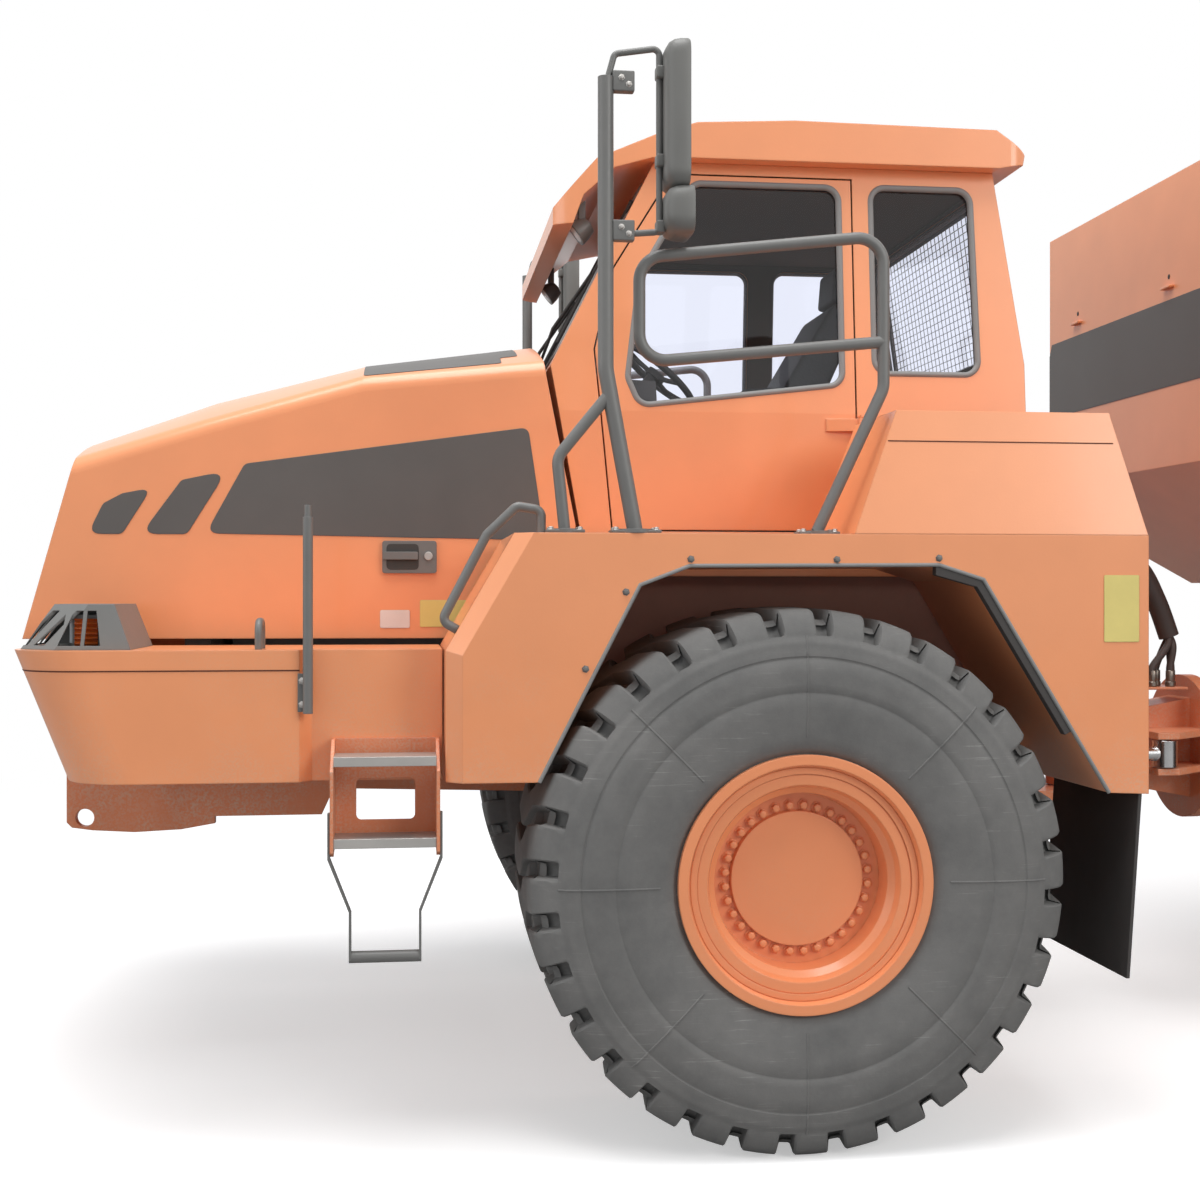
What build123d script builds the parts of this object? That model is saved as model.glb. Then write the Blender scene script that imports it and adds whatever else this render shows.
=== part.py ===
from build123d import *
import os
from math import cos, radians, sin

# Articulated dump truck at full size, as separate pieces that seat, roll, steer and tip as the real ones do.
# Frame: +X runs rearwards along the truck and the nose points to -X, its left side is -Y, +Z is up. The
# origin is on the ground, under the middle of the overall length and width. All sizes are millimetres.
# Outlines of the front unit are measured rearwards from the front axle and upwards from the ground.

# ------------------------------------------------------------------ driving dimensions
OVERALL_LENGTH = 10950
NOSE_OVERHANG = 2800            # from the nose of the hood back to the front axle
WHEELBASE = 4550                # front axle to first rear axle
BOGIE_SPREAD = 1980             # between the two rear axles
STEER_PIVOT = 1720              # front axle back to the steering pivot
TIP_PIVOT_OVERHANG = 470        # last axle back to the bed's tipping shaft

TYRE_RADIUS = 937.5
TYRE_WIDTH = 870
TRACK_HALF = 1375               # truck's middle to a wheel's middle
BEAD_RADIUS = 372               # the rim's seat for the tyre
RIM_LIP_RADIUS = 440
RIM_HALF_WIDTH = 425
SPINDLE_RADIUS = 110

PIN_CLEARANCE = 0.6             # radial, where one piece turns on another
SEAT = 0.3                      # between pieces that are bolted face to face
MOVING_GAP = 6                  # between panels that move past each other

PLATE = 8                       # sheet of hood, bumper and fenders
STEER_PIN_RADIUS = 60
RING_Z = 1220                   # height of the steering pivot's middle and of the rolling ring
TIP_PIN_Z = 1620
TIP_PIN_RADIUS = 50

FRONT_AXLE_X = -OVERALL_LENGTH / 2 + NOSE_OVERHANG
FIRST_REAR_X = FRONT_AXLE_X + WHEELBASE
LAST_REAR_X = FIRST_REAR_X + BOGIE_SPREAD
BOGIE_X = (FIRST_REAR_X + LAST_REAR_X) / 2
STEER_X = FRONT_AXLE_X + STEER_PIVOT
TIP_X = LAST_REAR_X + TIP_PIVOT_OVERHANG
TAIL_X = OVERALL_LENGTH / 2


# ------------------------------------------------------------------ planes and helpers
def side_plane(x, y):
    """Sketch plane seen from the truck's left: x runs rearwards from station x, y is the height."""
    return Plane((x, y, 0), x_dir=(1, 0, 0), z_dir=(0, -1, 0))


def cross_plane(x):
    """Sketch plane across the truck at station x: x is the side offset, y is the height."""
    return Plane((x, 0, 0), x_dir=(0, 1, 0), z_dir=(1, 0, 0))


def plan_plane(x, z):
    """Level sketch plane: x runs rearwards from station x, y is the side offset."""
    return Plane((x, 0, z), x_dir=(1, 0, 0), z_dir=(0, 0, 1))


def plate(points, plane, thickness, mode=Mode.ADD, both=False):
    """A flat plate cut to a straight-sided outline."""
    with BuildSketch(plane) as cut:
        Polygon(*points, align=None)
    extrude(cut.sketch, amount=thickness, both=both, mode=mode)


def rod(start, end, radius, mode=Mode.ADD):
    """A round bar, or the hole for one, between two points."""
    run = Vector(*end) - Vector(*start)
    with BuildSketch(Plane(origin=start, z_dir=run)) as section:
        Circle(radius)
    extrude(section.sketch, amount=run.length, mode=mode)


def bent_tube(points, bend, radius):
    """A round tube that follows straight runs joined by tangent bends."""
    with BuildLine() as route:
        FilletPolyline(*points, radius=bend)
    with BuildSketch(Plane(origin=route.line @ 0, z_dir=route.line % 0)) as section:
        Circle(radius)
    sweep(section.sketch, path=route.line)


def at(x, y, z):
    """A point given rearwards from the front axle, across, and up from the ground."""
    return (FRONT_AXLE_X + x, y, z)


def finish(piece, name):
    """Label a finished piece and write it out."""
    piece.part.label = name
    export_step(piece.part, f"parts/{name}.step")


os.makedirs("parts", exist_ok=True)

# ------------------------------------------------------------------ wheels
# Each wheel is a wide-base steel rim with its hub pressed to a dish, and an earthmover tyre seated between
# the rim's lips. Sections run outwards from the wheel's middle plane.
LIP_INNER = RIM_HALF_WIDTH - 25
DISH_FACE = RIM_HALF_WIDTH - 140        # flat end cover of the hub, deep inside the rim
SPINDLE_END = 200                       # from the wheel's middle to the end of the spindle
HUB_BACK = -200
RIM_SECTION = [
    (RIM_HALF_WIDTH, RIM_LIP_RADIUS),
    (RIM_HALF_WIDTH, 405),
    (RIM_HALF_WIDTH - 30, 395),
    (RIM_HALF_WIDTH - 30, 335),
    (RIM_HALF_WIDTH - 60, 325),
    (RIM_HALF_WIDTH - 80, 303),
    (DISH_FACE - 20, 295),
    (DISH_FACE - 20, 235),
    (DISH_FACE, 232),
    (DISH_FACE, 0),
    (SPINDLE_END + SEAT, 0),
    (SPINDLE_END + SEAT, SPINDLE_RADIUS + PIN_CLEARANCE),
    (HUB_BACK, SPINDLE_RADIUS + PIN_CLEARANCE),
    (HUB_BACK, 170),
    (150, 170),
    (150, 335),
    (-RIM_HALF_WIDTH, 335),
    (-RIM_HALF_WIDTH, RIM_LIP_RADIUS),
    (-LIP_INNER, RIM_LIP_RADIUS),
    (-LIP_INNER, BEAD_RADIUS),
    (LIP_INNER, BEAD_RADIUS),
    (LIP_INNER, RIM_LIP_RADIUS),
]
BEAD_HALF = LIP_INNER - SEAT
TREAD_HALF = TYRE_WIDTH / 2 - 65
SHOULDER_RADIUS = TYRE_RADIUS - 75

WHEELS = {
    "front": FRONT_AXLE_X,
    "mid": FIRST_REAR_X,
    "rear": LAST_REAR_X,
}


def wheel_plane(x, side):
    """Section plane through a wheel's axis: x runs outwards along the axle, y is the radius."""
    return Plane((x, side * TRACK_HALF, TYRE_RADIUS), x_dir=(0, side, 0), z_dir=(side, 0, 0))


for axle_name, axle_x in WHEELS.items():
    for side_name, side in (("left", -1), ("right", 1)):
        section_plane = wheel_plane(axle_x, side)
        spin_axis = Axis((axle_x, 0, TYRE_RADIUS), (0, 1, 0))

        with BuildPart() as rim:
            with BuildSketch(section_plane):
                Polygon(*RIM_SECTION, align=None)
            revolve(axis=spin_axis)
        finish(rim, f"rim_{axle_name}_{side_name}")

        with BuildPart() as tyre:
            with BuildSketch(section_plane):
                with BuildLine():
                    Polyline(
                        (-BEAD_HALF, RIM_LIP_RADIUS + SEAT),
                        (-BEAD_HALF, BEAD_RADIUS + SEAT),
                        (BEAD_HALF, BEAD_RADIUS + SEAT),
                        (BEAD_HALF, RIM_LIP_RADIUS + SEAT),
                    )
                    ThreePointArc(
                        (BEAD_HALF, RIM_LIP_RADIUS + SEAT),
                        (TYRE_WIDTH / 2, 640),
                        (TYRE_WIDTH / 2 - 25, SHOULDER_RADIUS),
                    )
                    Polyline(
                        (TYRE_WIDTH / 2 - 25, SHOULDER_RADIUS),
                        (TREAD_HALF, TYRE_RADIUS - 8),
                        (0, TYRE_RADIUS),
                        (-TREAD_HALF, TYRE_RADIUS - 8),
                        (-TYRE_WIDTH / 2 + 25, SHOULDER_RADIUS),
                    )
                    ThreePointArc(
                        (-TYRE_WIDTH / 2 + 25, SHOULDER_RADIUS),
                        (-TYRE_WIDTH / 2, 640),
                        (-BEAD_HALF, RIM_LIP_RADIUS + SEAT),
                    )
                make_face()
            revolve(axis=spin_axis)
        finish(tyre, f"tyre_{axle_name}_{side_name}")

# ------------------------------------------------------------------ front unit's frame
# Two deep plate rails, arched over the front axle, tied by cross members. At the rear a transverse plate
# carries the upper and lower ears of the steering pivot, and lugs for the steering cylinders stand out from
# the rails.
RAIL_INNER = 250
RAIL_OUTER = 320
RAIL_NOSE = -2200
RAIL_END = 1180
RAIL_TOP = 1330
RAIL_SIDE = [
    (RAIL_NOSE, 1130), (RAIL_NOSE, RAIL_TOP), (-760, RAIL_TOP), (-500, 1480), (500, 1480),
    (720, 1455), (RAIL_END, 1455), (RAIL_END, 985), (760, 985), (450, 1240), (-450, 1240), (-760, 1090),
]
CROSS_MEMBERS = [(-2200, -2050, 1150, 1310), (-1000, -880, 1130, 1310), (620, 740, 1200, 1420)]
BEAM_X = (-2262, -2205)                 # cross-beam that carries the bumper and the tow plates
BEAM_Z = (1300, 1420)
BUMPER_HALF = 1550
EAR_THICKNESS = 60
EAR_GAP_HALF = 175                      # half the gap between the two ears
EAR_RADIUS = 150
STEER_CYLINDER_Z = RING_Z
# cylinder's pin on the front unit: rearward of the axle, to the side
STEER_LUG = (STEER_PIVOT - 1000, 600)
STEER_EYE = (270, 360)                  # cylinder's pin on the hitch, from the pivot
LUG_GAP_HALF = 64
LUG_THICKNESS = 30
LUG_RADIUS = 70
CYLINDER_PIN_RADIUS = 32
FENDER_OUTER_Y = 1740
OUTRIGGER_RADIUS = 25
FENDER_OUTRIGGERS = [(-1120, 1337), (1140, 1350)]

ear_outline = [(RAIL_END, -RAIL_OUTER), (RAIL_END, RAIL_OUTER), (STEER_PIVOT, EAR_RADIUS),
               (STEER_PIVOT, -EAR_RADIUS)]
with BuildPart() as tractor_frame:
    for side in (-1, 1):
        plate(RAIL_SIDE, side_plane(FRONT_AXLE_X, side * (RAIL_INNER + RAIL_OUTER) / 2),
              (RAIL_OUTER - RAIL_INNER) / 2,
              both=True)
    for x0, x1, z0, z1 in CROSS_MEMBERS:
        plate([(x0, z0), (x1, z0), (x1, z1), (x0, z1)], side_plane(FRONT_AXLE_X, 0), RAIL_INNER + 10,
              both=True)
    plate([(BEAM_X[0], BEAM_Z[0]), (BEAM_X[1] + 10, BEAM_Z[0]), (BEAM_X[1] + 10, BEAM_Z[1]),
           (BEAM_X[0], BEAM_Z[1])],
          side_plane(FRONT_AXLE_X, 0), BUMPER_HALF - PLATE - SEAT, both=True)
    plate([(RAIL_NOSE - 5, 1150), (RAIL_NOSE + 60, 1150), (RAIL_NOSE + 60, 1310), (RAIL_NOSE - 5, 1310)],
          side_plane(FRONT_AXLE_X, 0), RAIL_OUTER, both=True)
    plate([(RAIL_END - 60, 985), (RAIL_END, 985), (RAIL_END, 1455), (RAIL_END - 60, 1455)],
          side_plane(FRONT_AXLE_X, 0), RAIL_OUTER, both=True)
    for ear_z in (RING_Z + EAR_GAP_HALF, RING_Z - EAR_GAP_HALF - EAR_THICKNESS):
        plate(ear_outline, plan_plane(FRONT_AXLE_X, ear_z), EAR_THICKNESS)
        with BuildSketch(plan_plane(STEER_X, ear_z)) as ear_end:
            Circle(EAR_RADIUS)
        extrude(ear_end.sketch, amount=EAR_THICKNESS)
    rod((STEER_X, 0, RING_Z - 400), (STEER_X, 0, RING_Z + 400), STEER_PIN_RADIUS + PIN_CLEARANCE,
        mode=Mode.SUBTRACT)
    # outriggers that carry the fenders from inside their hollow ends
    for x, z in FENDER_OUTRIGGERS:
        for side in (-1, 1):
            rod((FRONT_AXLE_X + x, side * (RAIL_OUTER - 10), z),
                (FRONT_AXLE_X + x, side * (FENDER_OUTER_Y - PLATE - SEAT), z), OUTRIGGER_RADIUS)
    for side in (-1, 1):
        for lug_z in (STEER_CYLINDER_Z + LUG_GAP_HALF, STEER_CYLINDER_Z - LUG_GAP_HALF - LUG_THICKNESS):
            plate([(STEER_LUG[0] - 120, side * (RAIL_OUTER - 10)),
                   (STEER_LUG[0] - LUG_RADIUS, side * STEER_LUG[1]),
                   (STEER_LUG[0] + LUG_RADIUS, side * STEER_LUG[1]),
                   (STEER_LUG[0] + 120, side * (RAIL_OUTER - 10))],
                  plan_plane(FRONT_AXLE_X, lug_z), LUG_THICKNESS)
            with BuildSketch(plan_plane(FRONT_AXLE_X + STEER_LUG[0], lug_z)) as lug_end:
                with Locations((0, side * STEER_LUG[1])):
                    Circle(LUG_RADIUS)
            extrude(lug_end.sketch, amount=LUG_THICKNESS)
        lug_pin = (FRONT_AXLE_X + STEER_LUG[0], side * STEER_LUG[1])
        rod((*lug_pin, STEER_CYLINDER_Z - LUG_GAP_HALF - LUG_THICKNESS - 6),
            (*lug_pin, STEER_CYLINDER_Z + LUG_GAP_HALF + LUG_THICKNESS + 6), CYLINDER_PIN_RADIUS)
finish(tractor_frame, "tractor_frame")

# ------------------------------------------------------------------ front axle
# A beam housing with the differential in its middle, held under the rails by two suspension struts, with a
# spindle at each end.
AXLE_TUBE_RADIUS = 140
DIFF_RADIUS = 240
AXLE_SHOULDER = TRACK_HALF + HUB_BACK - 40      # where the beam ends and the spindle starts
STRUT_RADIUS = 55
with BuildPart() as front_axle:
    rod((FRONT_AXLE_X, -AXLE_SHOULDER, TYRE_RADIUS), (FRONT_AXLE_X, AXLE_SHOULDER, TYRE_RADIUS),
        AXLE_TUBE_RADIUS)
    rod((FRONT_AXLE_X, -TRACK_HALF - SPINDLE_END, TYRE_RADIUS),
        (FRONT_AXLE_X, TRACK_HALF + SPINDLE_END, TYRE_RADIUS),
        SPINDLE_RADIUS)
    with Locations((FRONT_AXLE_X, 0, TYRE_RADIUS)):
        Sphere(DIFF_RADIUS)
    for side in (-1, 1):
        strut_y = side * (RAIL_INNER + RAIL_OUTER) / 2
        rod((FRONT_AXLE_X, strut_y, TYRE_RADIUS), (FRONT_AXLE_X, strut_y, 1240 - SEAT), STRUT_RADIUS)
finish(front_axle, "front_axle")

# ------------------------------------------------------------------ bumper
# A deep wrap-round bumper of pressed sheet, leaning forward to its top, with a walkway deck on each side of
# the hood and a shallow step in its flanks where the ladder hangs.
BUMPER_BOTTOM_Z = 1280
BUMPER_TOP_Z = 1730
BUMPER_FRONT_TOP = -2680
BUMPER_FRONT_BOTTOM = -2500
BUMPER_STEP = (-1700, -1660)            # where the flank steps in
BUMPER_REAR = -1216
BUMPER_STEP_DEPTH = 50
BUMPER_CORNER = 240
HOOD_OPENING_HALF = 965                 # the deck stops here, beside the hood


def bumper_block(inset, bottom_drop):
    """The bumper's body, drawn in by inset, and carried below its bottom edge by bottom_drop."""
    lean = (BUMPER_FRONT_BOTTOM - BUMPER_FRONT_TOP) / (BUMPER_TOP_Z - BUMPER_BOTTOM_Z)
    with BuildPart() as block:
        for z in (BUMPER_BOTTOM_Z - bottom_drop, BUMPER_TOP_Z - inset):
            front = BUMPER_FRONT_TOP + (BUMPER_TOP_Z - z) * lean + inset
            half = BUMPER_HALF - inset
            step_half = half - BUMPER_STEP_DEPTH
            rear = BUMPER_REAR + bottom_drop
            with BuildSketch(plan_plane(FRONT_AXLE_X, z)):
                Polygon((front, -half), (BUMPER_STEP[0], -half), (BUMPER_STEP[1], -step_half),
                        (rear, -step_half),
                        (rear, step_half), (BUMPER_STEP[1], step_half), (BUMPER_STEP[0], half),
                        (front, half),
                        align=None)
                fillet(vertices().group_by(Axis.X)[0], radius=BUMPER_CORNER - inset)
        loft(ruled=True)
    return block.part


bumper_outer = bumper_block(0, 0)
bumper_inner = bumper_block(PLATE, 60)
with BuildPart() as bumper:
    add(bumper_outer)
    add(bumper_inner, mode=Mode.SUBTRACT)
    plate([(BUMPER_FRONT_TOP + 90, -HOOD_OPENING_HALF), (BUMPER_REAR + 60, -HOOD_OPENING_HALF),
           (BUMPER_REAR + 60, HOOD_OPENING_HALF), (BUMPER_FRONT_TOP + 90, HOOD_OPENING_HALF)],
          plan_plane(FRONT_AXLE_X, BUMPER_TOP_Z - 60), 120, mode=Mode.SUBTRACT)
finish(bumper, "bumper")

# ------------------------------------------------------------------ tow plates
# Two thick plates under the bumper, each with a hole for a tow shackle's pin, hung from the cross-beam.
TOW_PLATE_Y = 530
TOW_PLATE_THICKNESS = 40
TOW_HOLE = (-2590, 1042)
TOW_HOLE_RADIUS = 35
TOW_OUTLINE = [
    (-2660, 1025), (-2660, 1240), (-2470, 1262), (-2450, BEAM_Z[0]), (-1640, BEAM_Z[0]), (-1640, 1110),
    (-1672, 1040), (-2090, 1040), (-2090, 1012), (-2220, 990), (-2400, 982), (-2560, 992), (-2640, 1004),
]
with BuildPart() as tow_plates:
    for y in (-TOW_PLATE_Y, TOW_PLATE_Y + TOW_PLATE_THICKNESS):
        plate(TOW_OUTLINE, side_plane(FRONT_AXLE_X, y), TOW_PLATE_THICKNESS)
    rod((FRONT_AXLE_X + TOW_HOLE[0], -700, TOW_HOLE[1]), (FRONT_AXLE_X + TOW_HOLE[0], 700, TOW_HOLE[1]),
        TOW_HOLE_RADIUS, mode=Mode.SUBTRACT)
finish(tow_plates, "tow_plates")

# ------------------------------------------------------------------ headlights
# On each front corner of the bumper's deck a tapering guard of pressed steel, slotted between slanting bars,
# stands over a lamp block that is bolted to its floor.
LAMP_FOOT = (-2655, -2265)
LAMP_TOP = (-2550, -2325)
LAMP_HEIGHT = 155
LAMP_INNER_Y = 1010
LAMP_OUTER_Y = 1500
LAMP_CORNER = 140                       # cut across the front outer corner
LAMP_SKIN = 9
LAMP_LEAN = 45                          # how far the outer side leans in to its top
LAMP_SLOT_Z = (14, 132)                 # slots' ends above the deck
# bottom front, bottom rear, top front and top rear of each slot in the guard's outer side
SIDE_SLOTS = [
    (-2505, -2430, -2462, -2425),
    (-2418, -2365, -2412, -2383),
]
FRONT_SLOT_COUNT = 6
FRONT_SLOT = (44, 30)                   # width at the bottom and at the top


def lamp_block(side, inset):
    """The guard's body on one side, drawn in by inset on every face."""
    with BuildPart() as block:
        for z, (front, rear), outer in ((BUMPER_TOP_Z + SEAT, LAMP_FOOT, LAMP_OUTER_Y),
                                        (BUMPER_TOP_Z + LAMP_HEIGHT, LAMP_TOP, LAMP_OUTER_Y - LAMP_LEAN)):
            with BuildSketch(plan_plane(FRONT_AXLE_X, z + (inset if z < BUMPER_TOP_Z
                                                           + LAMP_HEIGHT else -inset))):
                Polygon((front, side * LAMP_INNER_Y), (rear, side * LAMP_INNER_Y), (rear, side * outer),
                        (front + LAMP_CORNER, side * outer), (front, side * (outer - LAMP_CORNER)),
                        align=None)
                if inset:
                    offset(amount=-inset, kind=Kind.INTERSECTION)
        loft(ruled=True)
    return block.part


lamp_guards = {side: (lamp_block(side, 0), lamp_block(side, LAMP_SKIN)) for side in (-1, 1)}
with BuildPart() as headlights:
    for side, (guard, hollow) in lamp_guards.items():
        add(guard)
        add(hollow, mode=Mode.SUBTRACT)
        slot_bottom, slot_top = (BUMPER_TOP_Z + z for z in LAMP_SLOT_Z)
        for foot_front, foot_rear, top_front, top_rear in SIDE_SLOTS:
            plate([(foot_front, slot_bottom), (foot_rear, slot_bottom), (top_rear, slot_top),
                   (top_front, slot_top)],
                  side_plane(FRONT_AXLE_X, side * (LAMP_OUTER_Y - LAMP_LEAN / 2)), LAMP_LEAN,
                  mode=Mode.SUBTRACT, both=True)
        slot_pitch = (LAMP_OUTER_Y - LAMP_INNER_Y) / (FRONT_SLOT_COUNT + 1)
        for index in range(FRONT_SLOT_COUNT):
            middle = side * (LAMP_INNER_Y + 0.35 * slot_pitch + (index + 0.5) * slot_pitch)
            half_foot, half_top = FRONT_SLOT[0] / 2, FRONT_SLOT[1] / 2
            plate([(middle - half_foot, slot_bottom), (middle + half_foot, slot_bottom),
                   (middle + half_top, slot_top), (middle - half_top, slot_top)],
                  cross_plane(FRONT_AXLE_X + LAMP_FOOT[0] - 20), 180, mode=Mode.SUBTRACT)
        # lamp block on the guard's floor, behind the slots
        plate([(LAMP_FOOT[0] + 185, side * 1060), (LAMP_FOOT[1] - 60, side * 1060),
               (LAMP_FOOT[1] - 60, side * 1420),
               (LAMP_FOOT[0] + 185, side * 1420)], plan_plane(FRONT_AXLE_X, BUMPER_TOP_Z + LAMP_SKIN - 2),
               112)
finish(headlights, "headlights")

# ------------------------------------------------------------------ engine
# The engine and its radiator stand on the rails under the hood.
ENGINE_HALF = 300
with BuildPart() as engine:
    plate([(-2050, RAIL_TOP + SEAT), (-950, RAIL_TOP + SEAT), (-950, 2050), (-1150, 2180), (-2050, 2180)],
          side_plane(FRONT_AXLE_X, 0), ENGINE_HALF, both=True)
    plate([(-2190, RAIL_TOP + SEAT), (-2040, RAIL_TOP + SEAT), (-2040, 1500), (-2190, 1500)],
          side_plane(FRONT_AXLE_X, 0), ENGINE_HALF, both=True)
    plate([(-2190, 1460), (-2090, 1460), (-2090, 2280), (-2190, 2280)], side_plane(FRONT_AXLE_X, 0), 700,
          both=True)
finish(engine, "engine")

# ------------------------------------------------------------------ hood
# A one-piece moulded hood: upright sides, a crowned top that rises rearwards, and a nose that leans back. It
# is a hollow skin, open below and behind, and tilts forward on two hinges inside the nose.
HOOD_BOTTOM_Z = 1752
HOOD_STATIONS = [           # rearward of the axle, half width, shoulder height, crown height
    (-2900, 835, 2330, 2440),
    (-2560, 850, 2430, 2560),
    (-2100, 872, 2570, 2730),
    (-1500, 900, 2745, 2885),
    (-600, 930, 2830, 3010),
]
NOSE_SIDE_X = -2762                     # nose at its foot, at the hood's side
NOSE_RAKE = 0.28                        # rearwards per unit of height
NOSE_BULGE = -NOSE_OVERHANG - NOSE_SIDE_X
HOOD_SHOULDER_RADIUS = 70
HOOD_REAR = [(-684, 1700), (-690, 2190), (-802, 2760), (-845, 3100)]
HOOD_HINGE = (-2715, 1778)
HOOD_HINGE_Y = 420
KNUCKLE_RADIUS = 24
HINGE_PIN_RADIUS = 12


def hood_block(inset):
    """The hood as a solid, drawn in by inset, before its rear edge is cut."""
    with BuildPart() as block:
        for x, half, shoulder, crown in HOOD_STATIONS:
            base = HOOD_BOTTOM_Z - 10 * inset
            with BuildSketch(cross_plane(FRONT_AXLE_X + x)) as section:
                with BuildLine():
                    Polyline((half - inset, shoulder - inset), (half - inset, base), (inset - half, base),
                             (inset - half, shoulder - inset))
                    ThreePointArc((inset - half, shoulder - inset), (0, crown - inset),
                                  (half - inset, shoulder - inset))
                make_face()
                fillet(section.vertices().sort_by(Axis.Y)[-2:], radius=HOOD_SHOULDER_RADIUS - inset)
        loft(ruled=True)
    with BuildPart() as nose:
        for z in (HOOD_BOTTOM_Z - 100, 3200):
            foot = NOSE_SIDE_X + (z - HOOD_BOTTOM_Z) * NOSE_RAKE + inset
            with BuildSketch(plan_plane(FRONT_AXLE_X, z)):
                with BuildLine():
                    Polyline((foot, 900), (-400, 1000), (-400, -1000), (foot, -900))
                    ThreePointArc((foot, -900), (foot + NOSE_BULGE, 0), (foot, 900))
                make_face()
        loft(ruled=True)
        add(block.part, mode=Mode.INTERSECT)
    return nose.part


hood_outer = hood_block(0)
hood_inner = hood_block(PLATE)
GRILLE_HALF = 560
GRILLE_Z = (1860, 2330)
with BuildPart() as hood:
    add(hood_outer)
    add(hood_inner, mode=Mode.SUBTRACT)
    plate(HOOD_REAR + [(0, 3300), (0, 1600)], side_plane(FRONT_AXLE_X, 0), 1100, mode=Mode.SUBTRACT,
          both=True)
    # opening for the grille, straight through the nose
    plate([(-GRILLE_HALF, GRILLE_Z[0]), (GRILLE_HALF, GRILLE_Z[0]), (GRILLE_HALF, GRILLE_Z[1]),
           (-GRILLE_HALF, GRILLE_Z[1])],
          cross_plane(FRONT_AXLE_X - NOSE_OVERHANG - 50), 400, mode=Mode.SUBTRACT)
    # knuckles behind the nose, tied to it by short webs
    for side in (-1, 1):
        y = side * HOOD_HINGE_Y
        nose_inside = NOSE_SIDE_X + NOSE_BULGE * (1 - (HOOD_HINGE_Y / 900) ** 2) + PLATE
        plate([(nose_inside - 6, HOOD_HINGE[1] - 18), (HOOD_HINGE[0], HOOD_HINGE[1] - 18),
               (HOOD_HINGE[0], HOOD_HINGE[1] + 18),
               (nose_inside + 6, HOOD_HINGE[1] + 60)], side_plane(FRONT_AXLE_X, y), 25, both=True)
        rod((FRONT_AXLE_X + HOOD_HINGE[0], y - 25, HOOD_HINGE[1]),
            (FRONT_AXLE_X + HOOD_HINGE[0], y + 25, HOOD_HINGE[1]),
            KNUCKLE_RADIUS)
        rod((FRONT_AXLE_X + HOOD_HINGE[0], y - 40, HOOD_HINGE[1]),
            (FRONT_AXLE_X + HOOD_HINGE[0], y + 40, HOOD_HINGE[1]),
            HINGE_PIN_RADIUS + PIN_CLEARANCE, mode=Mode.SUBTRACT)
finish(hood, "hood")

# Brackets on the bumper's front lip hold the hood's hinge pins.
HINGE_CHEEK = 12
with BuildPart() as hood_hinges:
    for side in (-1, 1):
        for y in (HOOD_HINGE_Y - 25 - MOVING_GAP - HINGE_CHEEK / 2,
                  HOOD_HINGE_Y + 25 + MOVING_GAP + HINGE_CHEEK / 2):
            plate([(BUMPER_FRONT_TOP + 14, BUMPER_TOP_Z + SEAT),
                   (BUMPER_FRONT_TOP + 85, BUMPER_TOP_Z + SEAT),
                   (BUMPER_FRONT_TOP + 60, HOOD_HINGE[1] + 12), (HOOD_HINGE[0], HOOD_HINGE[1] + 18),
                   (HOOD_HINGE[0] - 16, HOOD_HINGE[1]), (HOOD_HINGE[0], HOOD_HINGE[1] - 18)],
                  side_plane(FRONT_AXLE_X, side * y), HINGE_CHEEK / 2, both=True)
        rod((FRONT_AXLE_X + HOOD_HINGE[0], side * (HOOD_HINGE_Y - 43), HOOD_HINGE[1]),
            (FRONT_AXLE_X + HOOD_HINGE[0], side * (HOOD_HINGE_Y + 43), HOOD_HINGE[1]), HINGE_PIN_RADIUS)
finish(hood_hinges, "hood_hinges")

# ------------------------------------------------------------------ grille
# Level slats between two side cheeks, fixed in the nose opening and raked with it.
SLAT_COUNT = 9
SLAT_DEPTH = 45
SLAT_THICKNESS = 14
with BuildPart() as grille:
    slat_pitch = (GRILLE_Z[1] - GRILLE_Z[0]) / SLAT_COUNT
    for index in range(SLAT_COUNT):
        z = GRILLE_Z[0] + (index + 0.5) * slat_pitch
        front = NOSE_SIDE_X + (z - HOOD_BOTTOM_Z) * NOSE_RAKE - 18
        plate([(front, z - SLAT_THICKNESS / 2), (front + SLAT_DEPTH, z - SLAT_THICKNESS / 2 + 10),
               (front + SLAT_DEPTH, z + SLAT_THICKNESS / 2 + 10), (front, z + SLAT_THICKNESS / 2)],
              side_plane(FRONT_AXLE_X, 0), GRILLE_HALF - 20, both=True)
    for side in (-1, 0, 1):
        cheek = [(NOSE_SIDE_X + (z - HOOD_BOTTOM_Z) * NOSE_RAKE + dx, z)
                 for z, dx in ((GRILLE_Z[0] + SEAT, -22), (GRILLE_Z[0] + SEAT, 30),
                               (GRILLE_Z[1] - SEAT, 30),
                               (GRILLE_Z[1] - SEAT, -22))]
        plate(cheek, side_plane(FRONT_AXLE_X, side * (GRILLE_HALF - 10 - SEAT)), 10, both=True)
finish(grille, "grille")

# ------------------------------------------------------------------ fenders
# A deep pressed fender over each front wheel: its outer skin, its top deck and the liner of its arch are one
# shell, open towards the cab.
FENDER_INNER_Y = 975
FENDER_TOP_Z = 2125
FENDER_OUTLINE = [
    (-1210, 1290), (-1210, 1730), (-980, FENDER_TOP_Z), (1240, FENDER_TOP_Z), (1240, 1220), (1095, 1226),
    (640, 1970), (480, 2020), (-390, 2015), (-560, 1950), (-700, 1680), (-900, 1290),
]
FENDER_CHAMFER = 55


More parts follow.
